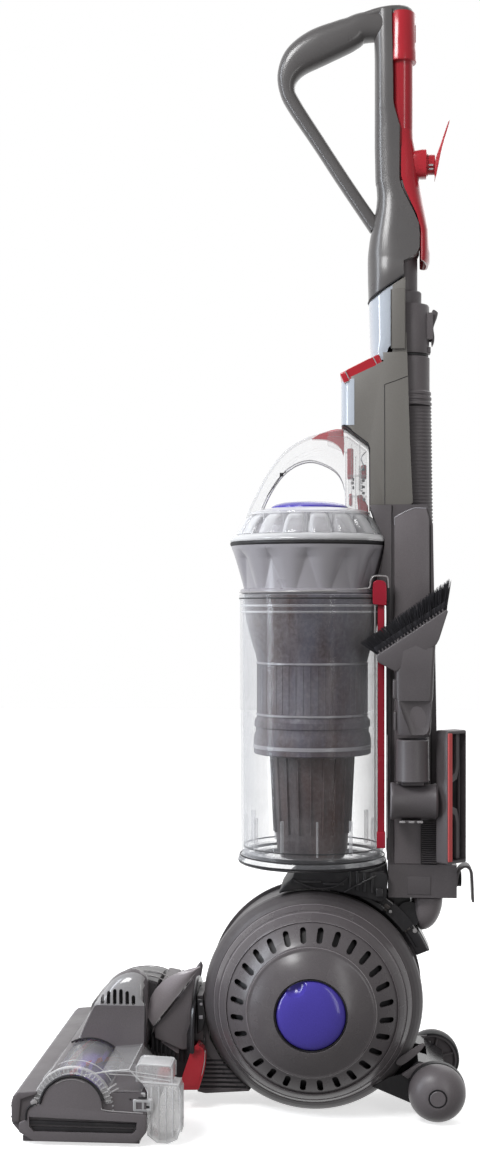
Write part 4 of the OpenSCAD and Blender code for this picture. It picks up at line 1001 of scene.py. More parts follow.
# brush tool
nk = lathe("nk", [(14.0, HOLD_Z + 0.6), (15.3, HOLD_Z + 0.6), (15.9, HOLD_Z + 1.6), (15.5, HOLD_Z + 3),
    (15.1, HOLD_Z + 39), (14.2, HOLD_Z + 40), (14.0, HOLD_Z + 40)], P(TOOL_X, 94.4, 0), seg=72)
body = loft("tb", [[P(TOOL_X + x, 95.6 + dy + y, z) for x, y in oval(w, t, e, 40)] for z, w, t, dy, e in (
    (362.6, 14.6, 15.6, -0.6, 3), (366, 15, 16, -0.4, 4), (392, 15.2, 16.6, 0, 6), (398, 15.4, 17.3, 0.2, 7),
    (424, 15.6, 17.8, 0.6, 8), (446, 15.4, 18.6, 1.2, 8), (452, 12, 19, 1.6, 8))])
sc = loft("scoop", [[P(TOOL_X + 15.4 + x, 101.4 - k * 0.14 + y, 363.4 + k)
    for x, y in oval(d, 9.6 + k * 0.24, 2.2, 28)] for k, d in (
    (-8, 0.6), (0, 2.2), (6, 4.4), (16, 5), (26, 4.0), (31, 2.2))])
cut(body, sc)
flare = prism("fl", [(60.9, 431.6), (63, 429.6), (78.4, 421.4), (116, 447), (118.6, 452), (126.8, 478),
    (125, 479.6), (60.6, 437)], TOOL_X - 13.4, TOOL_X + 15.4, 1.2, 3)
teeth = []
ux, uz = cos(radians(33.4)), sin(radians(33.4))       # along the head of the brush, rising to the back
for i in range(21):
    u = 2.4 + i * 3.5
    y0, z0 = 61.4 + ux * u, 437.2 + uz * u
    teeth.append(prism("th", [(y0, z0 - 0.6), (y0 + ux * 1.7, z0 - 0.6 + uz * 1.7),
        (y0 + ux * 1.5 - uz * 2.6, z0 + uz * 1.5 + ux * 2.6), (y0 + 0.3 - uz * 2.6, z0 + ux * 2.6)],
                       TOOL_X + 12.6, TOOL_X + 15.2))
clipb = [block("cb", TOOL_X - 8, TOOL_X + 12, 75.8, 79.4, 396, 414, 1.2),
    block("cb", TOOL_X - 6, TOOL_X + 10, 76.6, 79.2, 366, 384, 1.0)]
put(join("brush_tool_v", [nk, body, flare] + teeth + clipb), "brush_attachment", "tool", "brush_tool",
    "brush_tool")
put(join("scoop_in", [loft("sci", [[P(TOOL_X + 10.2 + x, 101.4 - k * 0.14 + y, 364.4 + k)
    for x, y in oval(1.2, 8.6 + k * 0.24, 2.2, 24)] for k in (-0.4, 6, 16, 26, 29.4)])]),
    "brush_attachment", "grey", "brush_tool")
rb = random.Random(3)
vs, fs = [], []


def hair(y0, z0, x, ly, lz, r):
    c = len(vs)
    px, pz = -lz, ly
    n = hypot(px, pz); px /= n; pz /= n
    for t, rr in ((0, r), (0.6, r * 0.85), (1, r * 0.25)):
        for dx, dd in ((rr, 0), (-rr * 0.5, rr * 0.87), (-rr * 0.5, -rr * 0.87)):
            vs.append(P(x + dx, y0 + ly * t + px * dd, z0 + lz * t + pz * dd))
    for a in range(2):
        for b in range(3):
            fs.append((c + a * 3 + b, c + a * 3 + (b + 1) % 3, c + a * 3 + 3 + (b + 1) % 3, c + a * 3 + 3
                + b))
    fs.append((c + 6, c + 7, c + 8)); fs.append((c + 2, c + 1, c))


HEAD_LENGTH = 76.6
rows_n, per_row = ((7, 124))
for row in range(rows_n):
    x = TOOL_X - 8 + 18.6 * row / (rows_n - 1)
    for i in range(per_row):
        u = HEAD_LENGTH * (i + rb.random()) / per_row
        y0, z0 = 61.6 + ux * u, 436.4 + uz * u
        f = u / HEAD_LENGTH
        tipy, tipz = 45.6 + (129.4 - 45.6) * f, 448.6 + (509 - 448.6) * f
        hair(y0, z0, x + rb.uniform(-1.2, 1.2), tipy - y0 + rb.uniform(-1.0, 1.0),
            (tipz - z0) * rb.uniform(0.86, 1.0), 0.42)
put(new_obj("bristles", vs, fs, 80), "brush_attachment", "bristle", "brush_bristles", "brush_bristles")
put(prism("root", [(62.4, 437.4), (126, 479.4), (126.6, 489), (57.6, 443.6)], TOOL_X - 8.4, TOOL_X + 11, 0.6),
    "brush_attachment", "bristle", "brush_bristles")
# stair tool
STAIR_X, STAIR_Z, STAIR_TURN = 57, HOLD_Z - 18.8, radians(42)
sn = lathe("sn", [(14.6, 74.2), (17.2, 74.2), (17.6, 75), (17.4, 77.4), (16.4, 79.2), (16.1, 112),
    (16.8, 116), (14.6, 118), (0, 118), (0, 112), (14.2, 112)], P(STAIR_X, 0, STAIR_Z), "Y", 72)


def turned(o):
    """From the stair tool's own frame to its place."""
    o.data.transform(Matrix.Translation(P(STAIR_X, 130.5, 241.5)) @ Matrix.Rotation(STAIR_TURN, 4, "Z"))
    return o


def bx(x0, x1, y0, y1, z0, z1, bev=0.6):
    vs_ = [Vector((x, y, z)) / 1000 for x in (x0, x1) for y, z in ((y0, z0), (y1, z0), (y1, z1), (y0, z1))]
    o = new_obj("bx", vs_, BOX_FACES)
    return bevel(o, bev, 3) if bev else o


def plate(x0, x1, pts):
    vs_ = [Vector((x, y, z)) / 1000 for x in (x0, x1) for y, z in pts]
    return bevel(new_obj("pl", vs_, prism_faces(len(pts))), 0.4, 2)


shell = bx(-8, 8, -12.5, 12.5, 0, 124.6, 1.6)
cut(shell, bx(-2, 12, -9.4, 11.2, 3, 121.6, 0.8))
put(join("stair", [turned(shell), sn]), "stair_attachment", "tool", "stair_tool", "stair_tool")
put(join("stair_in", [turned(bx(-2.2, -1.2, -9.2, 11, 3.2, 121.4, 0))]), "stair_attachment", "black",
    "stair_tool")
mid = 64.6                                            # half way up the stair tool
bars = [plate(-1.2, 4.4, [(2.4, end), (6.6, end), (6.6, mid - k * 26), (3.6, mid - k * 14),
    (-7.4, mid - k * 9),
                          (-7.4, mid - k * 15), (0.6, mid - k * 20), (2.4, mid - k * 27)])
                          for end, k in ((4, 1), (121, -1))]
bars += [
        plate(-1.2, 1.4, [(8.8, 4), (10, 4), (10, 121), (8.8, 121)])]
put(join("stair_bars", [turned(o) for o in bars]), "stair_attachment", "grey", "stair_tool")
put(turned(bx(7.6, 9.6, -12.3, -7.4, 2.4, 122.2, 0.7)), "stair_attachment", "strip", "stair_strip",
    "stair_strip")
put(lathe("snr", [(14.8, 73.8), (17.3, 73.8), (17.3, 74.8), (14.8, 74.8)], P(STAIR_X, 0, STAIR_Z), "Y", 64),
    "stair_attachment", "silver", "stair_tool")


# ------------------------------------------------------------------ ball covers, nose, duct, stand wheels
def sph(r, d=0.0):
    """How far out the ball is at radius r about its axle, plus d."""
    return sqrt(max(0.0, BALL_R ** 2 - r ** 2)) + d


SLOTS = 28                                            # air slots round a side cover


def cover(s):
    prof = [(94.7, sph(94.7, 0.2)), (94.5, sph(94.5, 1.7)), (93.8, sph(93.8, 2.6))]
    prof += [(r, sph(r, 2.8)) for r in (92.4, 91, 89.9)]
    prof += [(89.5, sph(89.5, 2.0)), (89.0, sph(89.0, 1.6)), (88.5, sph(88.5, 2.1)), (88.1, sph(88.1, 2.9))]
    prof += [(r, sph(r, 2.8)) for r in (86.5, 85, 83.6, 82.4)]
    prof += [(81.6, sph(81.6, 2.5)), (81.1, sph(81.1, 1.2)), (80.8, sph(80.8, 0.1))]
    prof += [(r, sph(r, 0.0)) for r in (79.6, 77, 74, 71, 68, 65, 62.4, 61.2)]
    prof += [(60.8, sph(60.8, 0.5)), (60.3, sph(60.3, 1.4)), (59.5, sph(59.5, 1.7)), (58.8, sph(58.8, 1.2))]
    prof += [(r, sph(r, 1.0)) for r in (57, 53, 49, 45, 41, 38, 35.6)]
    prof += [(34.4, sph(34.4, 0.9)), (33.7, 98.6), (33.6, 94.2)]
    if s > 0:
        prof += [(20, 94.2), (20, 91)]
    else:
        prof += [(32.2, 94.2), (32.2, 98.6), (31, 100.6), (24, 102.2), (12, 103.4), (0, 103.8), (0, 91)]
    prof += [(50, 91), (50, 84)] + [(r, sph(r, -4)) for r in (61, 66, 72, 78, 84, 90)] + [(94.2, 45)]
    o = lathe("cover", [(r, s * h) for r, h in prof], AT_BALL, "X", 168)
    vs, fs = [], []
    for i in range(SLOTS):
        a = 2 * pi * (i + 0.5) / SLOTS
        ring = []
        for k in range(16):
            t = 2 * pi * k / 16
            u = 70.3 + (3.8 if cos(t) > 0 else -3.8) + 2.9 * cos(t); v = 2.9 * sin(t)
            ring.append((u * sin(a) + v * cos(a), u * cos(a) - v * sin(a)))
        c = len(vs)
        vs += [P(s * 44, y, BALL_Z + z) for y, z in ring] + [P(s * 112, y, BALL_Z + z) for y, z in ring]
        fs += [tuple(c + k for k in f) for f in prism_faces(16)]
    cut(o, new_obj("slots", vs, fs))
    bevel(o, 0.32, 2, 34)
    return o


for s, n in ((1, "side_cover_right"), (-1, "side_cover_left")):
    put(cover(s), "yoke", "ballgrey", n, n)
    put(lathe("back", [(60, s * 79), (80, s * 62), (80, s * 61), (60, s * 78)], AT_BALL, "X", 96), "yoke",
        "black", n)
    put(lathe("gap", [(94.9, s * 46.5), (95.6, s * 44.8), (95.0, s * 43.6), (94.2, s * 45)], AT_BALL, "X",
        128), "yoke", "black", n)
cap = lathe("cap", [(0, 103.9), (8, 103.7), (16, 103.1), (23, 102.0), (28, 100.5), (31, 98.9), (32.1, 97.4),
    (32.5, 95.4), (32.5, 93.6), (0, 93.6)], AT_BALL, "X", 128)
cut(cap, lathe("b", [(14.6 * sin(pi * k / 16), -14.6 * cos(pi * k / 16)) for k in range(17)],
    P(108.6, -16, BALL_Z + 30), "X", 48))
bevel(cap, 0.4, 2, 36)
put(cap, "twist_cap", "purple", "filter_cap", "filter_cap")
put(lathe("capring", [(32.6, 94.4), (33.5, 94.4), (33.5, 99.4), (32.9, 99.6), (32.6, 99.0)], AT_BALL, "X",
    96), "twist_cap", "black", "filter_cap")
# thin paler rings painted as highlights on the covers' steps
for s in SIDES:
    put(join("cover_highlight_rings", [lathe("ln", [(r, s * sph(r, h)), (r + 0.5, s * sph(r + 0.5, h + 0.2)),
        (r + 0.5, s * sph(r + 0.5, h - 0.3)), (r, s * sph(r, h - 0.4))], AT_BALL, "X", 144)
        for r, h in ((60.4, 1.45), (81.0, 1.9), (88.0, 3.0), (93.9, 2.5))]), "yoke", "ring_highlight",
        "side_cover_right" if s > 0 else "side_cover_left")
# ribs on the flank of the nose, dark between them
dk = [block("r", s * 30.02, s * 30.3, -111.4, -64 + (z - 17) * -0.9, z, z + 1.9, 0) for s in SIDES
    for z in [17.6 + 4.2 * i for i in range(7)]]
put(join("nose_gaps", dk), "yoke", "black", "yoke_frame")
rb_ = [prism("r", [(-111.4, z), (-54 - z, z), (-55 - z, z + 1.9), (-111.4, z + 1.9)], s * 30.02, s * 31.8,
    0.3, 2)
       for s in SIDES for z in [15.6 + 4.2 * i for i in range(8)]]
put(join("nose_ribs", rb_), "yoke", "spine", "yoke_frame")
put(join("nose_lip", [prism("l", [(-111.8, 13.6), (-104, 12), (-62, 15), (-60, 17.6), (-104, 15.2),
    (-111.8, 16.4)], -31.8, 31.8, 0.5, 2)]), "yoke", "spine", "yoke_frame")
# curved duct behind the ball: lips, clamp and glints
lip = [wire("l", side_arc(x, 0, BALL_Z, 111.5, range(27, 67, 4)), 1.5) for x in (17, 25, -17, -25)]
lip += [wire("l", side_arc(x, 0, BALL_Z, 118.5, range(30, 52, 4)), 1.1) for x in (15, -15)]
put(join("duct_lips", lip), "upright", "black", "changeover_duct")


def sector(r0, r1, t0, t1, x0, x1, bev):
    """Part of a ring about the ball axle, seen from the side; t0 to t1 in degrees."""
    n = 14
    turns = [(r1, radians(t0 + (t1 - t0) * i / n)) for i in range(n + 1)]
    turns += [(r0, radians(t1 + (t0 - t1) * i / n)) for i in range(n + 1)]
    pts = [(r * cos(a), BALL_Z + r * sin(a)) for r, a in turns]
    return prism("se", pts, x0, x1, bev, 2)


put(join("duct_sides", [sector(107.4, 120, 23, 62, s * 21, s * 25.6, 1.0) for s in SIDES]
    + [sector(107.2, 112, 52, 66, s * 24, s * 31, 1.0) for s in SIDES]), "upright", "dark", "changeover_duct")
put(join("duct_panels", [sector(109.2, 115.4, 36, 53, s * 25.2, s * 26.4, 0.5) for s in SIDES]), "upright",
    "bronze", "changeover_duct")
put(join("duct_bits", [block("c", s * 29.5, s * 31.8, 72.4, 75.4, 188.4, 191.4, 0.8) for s in SIDES]
    + [lathe("c", [(0, 0), (2.2, 0), (2.2, s * 1.0), (0, s * 1.4)], P(s * 25.4, 97.4, 171), "X", 20)
    for s in SIDES]
    + [wire("c", side_arc(s * 26.0, 0, BALL_Z, 119, range(34, 62, 4)), 0.4, 6) for s in SIDES]), "upright",
    "flap", "changeover_duct")
nose = loft("nose", [[P(x, y, z) for y, z in ring] for x, ring in [
    (x, [(104.5 + k * ((20.5 if cos(t) > 0 else 9) * cos(t)), 201.5 + k * (33 if sin(t) < 0 else 2) * sin(t))
    for t in [2 * pi * i / 36 for i in range(36)]])
    for x, k in ((-27, 0.25), (-26, 0.5), (-23.5, 0.72), (-19, 0.88), (-11, 0.98), (0, 1), (11, 0.98),
    (19, 0.88), (23.5, 0.72), (26, 0.5), (27, 0.25))]])
put(nose, "upright", "nose", "spine_lower")
# stand wheels
for s, n, b in ((1, "stand_wheel_right", "stand_roller_right"),
        (-1, "stand_wheel_left", "stand_roller_left")):
    pr = [(0, 20.0), (6.6, 20.0), (7.2, 19.6), (7.5, 18.2), (8.6, 18.2), (8.8, 19.2), (9.4, 19.3), (12, 18.3),
        (16, 16.5), (20, 13.6), (23.4, 9.8), (25.6, 5.6), (26.6, 1.6), (26.8, -2.0),
          (26.0, -5), (24.6, -6.2), (24.6, -15.4), (22.6, -15.4), (21, -11), (12, -9.6), (8, -14.6),
          (0, -14.6)]
    put(lathe("wheel", [(r, s * h) for r, h in pr], P(s * 66, STAND_Y, STAND_Z), "X", 96), b, "wheel", n, n)
    put(lathe("wring", [(r, s * h) for r, h in ((7.4, 18.0), (8.7, 18.0), (8.7, 18.9), (7.4, 18.9))],
        P(s * 66, STAND_Y, STAND_Z), "X", 64), b, "black", n)
    put(lathe("tyre", [(r, s * h) for r, h in ((24.4, -15.8), (26.2, -15.2), (26.95, -13), (26.95, -5.4),
        (26.2, -4.4), (24.4, -4.4))], P(s * 66, STAND_Y, STAND_Z), "X", 96), b, "black", n)
    put(join("spokes", [wire("sp", [P(s * 55, STAND_Y + 11 * cos(t), STAND_Z + 11 * sin(t)),
        P(s * 54, STAND_Y + 22.6 * cos(t), STAND_Z + 22.6 * sin(t))], 1.3, 8, per=1)
        for t in [2 * pi * k / 6 + 0.3 for k in range(6)]]), b, "wheel", n)
horn = smooth_loop([(84, 48), (93, 54), (102, 62), (106, 68), (103, 69), (92, 62), (82, 55), (79, 50)], 4)
foot = [(84, 40), (100, 50), (112, 52), (104, 44), (90, 36)]
put(join("stand_blade", both(horn, 48.4, 50.6, 0.8, 3) + both(foot, 48, 53, 0.8, 2)), "stand", "grey",
    "stand_frame")
wedge = [(56.5, 26.6), (100, 9), (117, 3), (126, 14), (116, 46), (100, 52), (86, 40), (72, 36)]
put(join("stand_wedge", both(wedge, 46.2, 48.8, 0.8, 2)), "stand", "dark", "stand_frame")
put(join("stand_sole", [prism("sl", [(70, 23), (104, 10.4), (127, 17), (127, 20), (104, 13.4), (72, 25.4)],
    -48.5, 48.5, 0.6, 2)]), "stand", "dark", "stand_frame")


# ------------------------------------------------------------------ cleaner head
HOOD = smooth_line([(-226, 64), (-218, 82), (-209.4, 100), (-202.6, 112), (-192, 128), (-180, 136.2),
    (-167, 137.4), (-157.4, 127), (-157.6, 96), (-158.5, 64)], 4) + [(-164.8, 47.5), (-200, 47.5)]


HOOD_Y, HOOD_Z, SHOULDER_Z, BARREL_Y = -186, 84, 104, -175


def hood_ring(x, top, inset):
    """The hood's side outline at x, drawn in by inset and lowered above its shoulder."""
    out = []
    for y, z in HOOD:
        k = 1 - inset / 46
        yy = HOOD_Y + (y - HOOD_Y) * k; zz = HOOD_Z + (z - HOOD_Z) * (k if z > HOOD_Z else 1)
        if zz > SHOULDER_Z:
            zz = SHOULDER_Z + (zz - SHOULDER_Z) * top * 0.9; yy += (-181 - yy) * (1 - top) * 0.45
        out.append(P(x, yy, zz))
    return out


hood = loft("hood", [hood_ring(*q) for q in (
    (-62, 0.12, 6), (-61, 0.2, 4), (-58, 0.32, 1.6), (-50, 0.42, 0.4), (-40, 0.48, 0), (0, 0.55, 0),
    (28, 0.6, 0), (34, 0.72, 0), (38, 0.88, 0), (43, 0.97, 0), (48, 1, 0),
    (53, 0.93, 0), (57, 0.82, 0.2), (60, 0.66, 0.6), (61.4, 0.52, 1.4), (62, 0.42, 2.6))])
cut(hood, lathe("b", [(0, -70), (36.6, -70), (36.6, 70), (0, 70)], AT_BRUSH, "X", 96),
    prism("b", [(-236, 44), (-196, 44), (-196, 62), (-240, 62)], -70, 70))
vent = []
for i in range(6):
    y = -199.8 + i * 6.0
    hi = (111.6, 115.6, 117.8, 118, 116.2, 112.4)[i]
    pts = [(y - 1.75, 104.6), (y - 1.0, 103.4), (y + 1.0, 103.4), (y + 1.75, 104.6), (y + 1.75, hi - 1.4),
        (y + 0.9, hi), (y - 0.9, hi), (y - 1.75, hi - 1.4)]
    vent.append(prism("v", pts, 55, 66))
cut(hood, join("vents", vent))
put(hood, "head", "hood", "motor_hood", "motor_hood")
put(prism("vent_back", [(-203, 100), (-166, 100), (-166, 116), (-176, 119), (-190, 119)], 54, 56.6), "head",
    "black", "motor_hood")
# the rounded near end above the vents' foot has a painted highlight: paler glossy plastic where the hood's
# top catches the light
bm = bmesh.new(); bm.from_mesh(hood.data)
bmesh.ops.bisect_plane(bm, geom=bm.verts[:] + bm.edges[:] + bm.faces[:], dist=1e-6, plane_co=P(0, 0, 102.6),
    plane_no=(0, 0, 1))
for f in bm.faces:
    c = f.calc_center_median()
    if c.z > 0.1026 and c.x > 0.0515 and c.y > P(0, -213, 0).y and c.y < P(0, -161, 0).y: f.material_index = 1
bm.to_mesh(hood.data); bm.free()
hood.data.materials.append(M["dome"])
bo = smooth_line([(-215, 90), (-213, 101), (-201, 115), (-187, 125), (-170, 129.4), (-153, 128), (-140, 121),
    (-131, 108), (-130, 94)], 5) + [(-150, 86), (-200, 86)]
barrel = loft("barrel", [[P(x, BARREL_Y + (y - BARREL_Y) * k, HOOD_Z + (z - HOOD_Z) * k * q * 0.88)
    for y, z in bo] for x, k, q in (
    (-50, 0.80, 0.80), (-48, 0.88, 0.82), (-44, 0.94, 0.85), (-34, 0.98, 0.90), (-10, 1, 0.98), (20, 1, 1.0),
    (38, 1, 1.02), (44, 0.98, 1.02), (46, 0.94, 1.02))])
cut(barrel, prism("b", [(-205, 80), (-160, 80), (-160, 116), (-180, 113), (-196, 104)], -38, 38),
    block("b", -70, 70, -149, -100, 60, 150, 0))
put(barrel, "head", "drk", "motor_hood")
# pale lines painted as highlights along the barrel's crest
crest = smooth_line([(-204, 112.6), (-187, 125.2), (-170, 129.6), (-153, 128.2), (-140, 121.2)], 4)
put(join("barrel_painted_highlights", [edge_wire(x, [(BARREL_Y + (y - BARREL_Y) * 1.004, HOOD_Z + (z - HOOD_Z) * q * 0.884)
    for y, z in crest], 0.5)
    for x, q in ((-24, 0.945), (8, 1.0), (30, 1.015))]),
    "head", "flap", "motor_hood")
lipw = [wire("w", side_arc(s * 61.6, BRUSH_Y, BRUSH_Z, 38, range(52, 124, 6)), 1.0, 8, per=1) for s in SIDES]
lipw += [wire("w", [P(s * 61.8, -158.6, 66), P(s * 61.9, -158.6, 98), P(s * 61.4, -160, 112)], 0.5, 8, per=3)
    for s in SIDES]
put(join("hood_lips", lipw), "head", "dark", "motor_hood")

# bumper and front slope across the whole width
bump = prism("bump", [(-266.4, 19.4), (-266.8, 37), (-265.2, 42.6), (-261, 46.4), (-250, 47.4), (-244, 47.6),
    (-243, 45), (-258, 40), (-259.6, 19.6)], -159.4, 159.4, 1.0, 3)
put(bump, "head", "bump", "head_body")
slope = prism("slope", [(-246, 46.6), (-243.4, 47.6), (-237.4, 57), (-231, 64.4), (-226, 66), (-226, 60),
    (-233, 56), (-239, 46.6)], -150, 150, 0.8, 3)
put(slope, "head", "bump", "head_body")
lines_ = [wire("w", [P(-159, -266.9, z), P(159, -266.9, z)], 0.4, 6, per=1) for z in (24, 34)]
put(join("bump_lines", lines_), "head", "dark", "head_body")

# end caps
for s, n in ((1, "end_cap_right"), (-1, "end_cap_left")):
    turns = [radians(t) for t in range(164, 14, -5)]
    arc_ = [(BRUSH_Y + 27.8 * cos(a), BRUSH_Z + 27.8 * sin(a)) for a in turns]
    out = [(-259.6, 11), (-259.6, 19.4), (-253.4, 21.8), (-252.6, 29.5), (-249.4, 34.6), (-243.6, 36.4),
        (-239.4, 37.2)] + arc_ + [
        (-184, 33), (-180.6, 31.2), (-176, 30.4), (-147, 29.6), (-144.6, 27.4), (-144.4, 13.4), (-148, 8.8),
        (-155.6, 3.4), (-246, 3.4)]
    c = prism("cap", out, s * 154.5, s * 160.4, 0.9, 3)
    cut(c, prism("b", [(-250.4, 25), (-153, 22.4), (-153.4, 15.4), (-157, 11.6), (-246, 11.6), (-250, 16)],
        s * 156.4, s * 170))
    put(c, "head", "capgrey", n, n)
    bars_ = [prism("b", [(-249.4, 18.2), (-154.6, 17.2), (-153.8, 20.2), (-250, 21.4)], s * 156, s * 159.2,
        0.4, 2),
             prism("b", [(-246, 12.2), (-158, 12.2), (-155.6, 15), (-248.6, 15.8)], s * 156, s * 158.6, 0.4,
             2)]
    put(join("cap_bars", bars_), "head", "dark", n)
    put(prism("capback", [(-250.2, 25), (-153.2, 22.2), (-153.6, 15), (-157, 11.8), (-246, 11.8), (-250, 16)],
        s * 156.0, s * 156.6), "head", "black", n)
    rim_ = [wire("w", side_arc(s * 160.2, BRUSH_Y, BRUSH_Z, 29.2, range(172, 14, -6)), 1.2, 8, per=1),
            edge_wire(s * 160.4, ((-253.2, 22), (-252.4, 29.4), (-249.6, 34.4), (-243.6, 36.8)), 0.9, per=6)]
    put(join("cap_gap", rim_), "head", "black", n)
    put(join("cap_glint", [edge_wire(s * 160.4, ((-184.6, 34.6), (-180.8, 32.2), (-147.4, 30.6)), 0.5, per=3),
        lathe("pin", [(0, s * 156), (3.0, s * 156), (3.0, s * 160.4), (2.2, s * 160.9), (0, s * 161)],
        P(0, -245.8, 37.6), "X", 28),
        wire("w", side_arc(s * 160.5, BRUSH_Y, BRUSH_Z, 26.2, range(124, 60, -6)), 0.3, 6, per=1)]), "head",
        "flap", n)

# clear brush cover: ribbed end band, edge lines, ribs in the pocket, raised rear box
hc = lathe("arch", [(33.4, -152), (36, -152), (36, 152), (33.4, 152)], AT_BRUSH, "X", 72, a0=26, a1=154)
cut(hc, block("b", -62.6, 62.6, -260, -140, 20, 100, 0))
tier, pock = [], []
for s in SIDES:
    tier.append(prism("t", [(-186, 64.4), (-161, 66.8), (-150, 56), (-149.4, 47.4), (-151.4, 47.4),
        (-151.8, 55), (-161.6, 64.6), (-184, 62.4)], s * 62.8, s * 152, 0.3, 2))
    tier.append(prism("t", [(-183, 62.4), (-161.4, 64.4), (-152, 55), (-151.6, 47.4), (-178, 47.4)], s * 150,
        s * 151.8, 0.3, 2))
    pk = [(-150, 56), (-116.4, 54), (-114.6, 48), (-114.6, 14), (-118, 5), (-126, 1.6), (-136, 2),
        (-144.8, 9), (-144.8, 47.2)]
    pi2 = [(-152, 53), (-118.5, 51.4), (-116.8, 46), (-116.8, 15), (-120, 7.4), (-127, 3.8), (-135, 4.2),
        (-142.6, 10), (-142.6, 50)]
    p = prism("p", pk, s * 127, s * 152.4, 0.8, 3)
    cut(p, prism("p", pi2, s * 129, s * 150.4))
    pock.append(p)
put(join("head_cover_v", [hc] + tier), "head", "headclear", "head_cover", "head_cover")
put(join("pockets", pock), "head", "pocket", "head_cover")
END_EDGE = [(-208, 47.2), (-206, 60), (-183, 64.6), (-161, 67), (-150, 56), (-118, 54), (-115, 49),
    (-114.7, 16),
            (-118, 5.6), (-126, 1.9), (-136, 2.4), (-144.6, 9)]
BOX_EDGE = [(-155, 55), (-155, 69), (-152, 71), (-125, 69.6), (-122.6, 67), (-122.6, 54)]
band, edges = [], []
for s in SIDES:
    band.append(lathe("band", [(29.8, s * 150.6), (35.6, s * 150.6), (36.2, s * 151.4), (36.2, s * 156.6),
        (35.4, s * 157.6), (30.6, s * 157.6), (29.8, s * 156.8)],
                      AT_BRUSH, "X", 60, a0=8, a1=172))
    for t in range(12, 172, 7):
        a = radians(t)
        band.append(wire("rb", [P(s * 157.7, BRUSH_Y + r * cos(a), BRUSH_Z + r * sin(a))
            for r in (30.4, 35.8)] , 0.55, 8, per=1))
    for t in range(-8, 30, 6):
        a = radians(t)
        band.append(wire("rb", [P(s * x, BRUSH_Y + (36.4 + k) * cos(a), BRUSH_Z + (36.4 + k) * sin(a))
            for x, k in ((157.6, 0), (154, 2), (150, 7))], 0.7, 8))
    band.append(prism("fl", smooth_line([(-178, 44), (-174.6, 36.6), (-168, 32.4), (-158, 31.4)], 4)
        + [(-146, 31.2), (-146, 47), (-176, 47)], s * 152.6, s * 156.8, 0.8, 2))
    edges.append(edge_wire(s * 152.2, END_EDGE, 0.7))
    for y, z in ((-161, 67), (-150, 56), (-116.4, 53.6), (-114.6, 18)):
        edges.append(wire("e", [P(s * (64 if y < -149 else 127), y, z), P(s * 152, y, z)], 0.5, 8, per=1))
    for y in (-140.6, -134, -127.6, -121.4):
        edges.append(edge_wire(s * 152.3, ((y, 8 if y > -124 or y < -138 else 4.4), (y, 52)), 0.75))
    for x in (131, 138, 145):
        edges.append(edge_wire(s * x, ((-114.7, 10), (-114.7, 50)), 0.7))
    edges.append(wire("e", side_arc(s * 133, BRUSH_Y, BRUSH_Z, 36.2, range(30, 154, 6)), 0.45, 6, per=1))
    bxs = prism("rb", BOX_EDGE, s * 118, s * 148, 1.0, 3)
    cut(bxs, prism("rb", [(-153.4, 50), (-153.4, 68.6), (-151, 69.4), (-126, 68), (-124.2, 66), (-124.2, 50)],
        s * 119.6, s * 146.4))
    band.append(bxs)
    edges += [edge_wire(s * 148, BOX_EDGE, 0.6), edge_wire(s * 119, BOX_EDGE, 0.5)]
    for y, z in ((-124, 69), (-154, 70)):
        edges.append(wire("e", [P(s * 119, y, z), P(s * 148, y, z)], 0.6, 8, per=1))
    for z in (60.5, 63.8):
        edges.append(edge_wire(s * 148.4, ((-180, z + 1), (-160, z + 0.4), (-124, z - 4)), 0.45, 6))
put(join("cover_band", band), "head", "pocket", "head_cover")
put(join("cover_edges", edges), "head", "rim", "head_cover")
for s in SIDES:
    lb = block("lb", s * 152.6, s * 157.6, -157, -139.4, 30.6, 42, 1.4)
    cut(lb, block("b", s * 156.2, s * 160, -154, -148.8, 33, 39.4, 0),
        block("b", s * 156.2, s * 160, -146.8, -141.6, 33, 39.4, 0))
    put(lb, "head", "rim", "head_cover")
    put(join("lb_dark", [block("b", s * 155.6, s * 156.6, a, a + 4.4, 34, 36, 0) for a in (-153.6, -146.4)]
        + [block("b", s * 153, s * 157, -160.4, -157.6, 40.4, 43, 0.5),
        block("b", s * 156, s * 158, -152, -144, 43, 44.2, 0.3)]), "head", "dark", "head_cover")
    put(block("rd", s * 128, s * 144, -136, -126.6, 57.6, 63.4, 1.6), "head", "strip", "head_cover")

tufts = [wire("tuft", [side_arc(x, BRUSH_Y, BRUSH_Z, 24, [k * 90 + x * 0.8])[0] for x in r_], 2.2, 8, per=2)
    for k in range(4) for r_ in (range(-134, -60, 8), range(-22, 135, 8))]
put(join("tufts", tufts), "brush", "bristle2", "brushbar")

# neck: side panels, pale vanes, ribbed sleeve, dark collar
nk = both(smooth_line([(-153, 77), (-141, 92), (-128, 108), (-115.4, 125)], 4)
    + smooth_line([(-113.4, 120), (-115.6, 106), (-116.6, 90), (-117, 57)], 4)
    + [(-126, 56), (-152, 67)], 37.6, 42, 1.6, 4)
put(join("neck_panel", nk), "neck", "neckgrey", "head_neck")
vanes = []
for s in SIDES:
    rows_ = []
    for t in [k / 10 * (1 if s > 0 else 0.6) for k in range(11)]:
        lowp = (-153.2 + 45.4 * t, 79.6 + 57.6 * t)
        bow = sin(pi * t)
        upp = (-160 + 52.2 * t ** 1.1 - 6 * bow, 92 + 45.2 * t ** 0.75 + 5.5 * bow)
        xx = 43.4 + 3.2 * bow
        if s < 0: lowp = (lowp[0], lowp[1] - 19 * t); upp = (upp[0] + 2, upp[1] - 19 * (0.4 + 0.6 * t))
        rows_.append([P(s * (xx + 1.1 * u + (2.4 * sin(pi * v))), lowp[0] + (upp[0] - lowp[0]) * v, lowp[1]
            + (upp[1] - lowp[1]) * v)
                      for u, vv in ((0, (0, 0.2, 0.4, 0.6, 0.8, 1)), (1, (1, 0.8, 0.6, 0.4, 0.2, 0)))
                      for v in vv])
    vanes.append(loft("vane", rows_))
put(join("vanes", vanes), "neck", "vane", "neck_flap", "neck_flap")
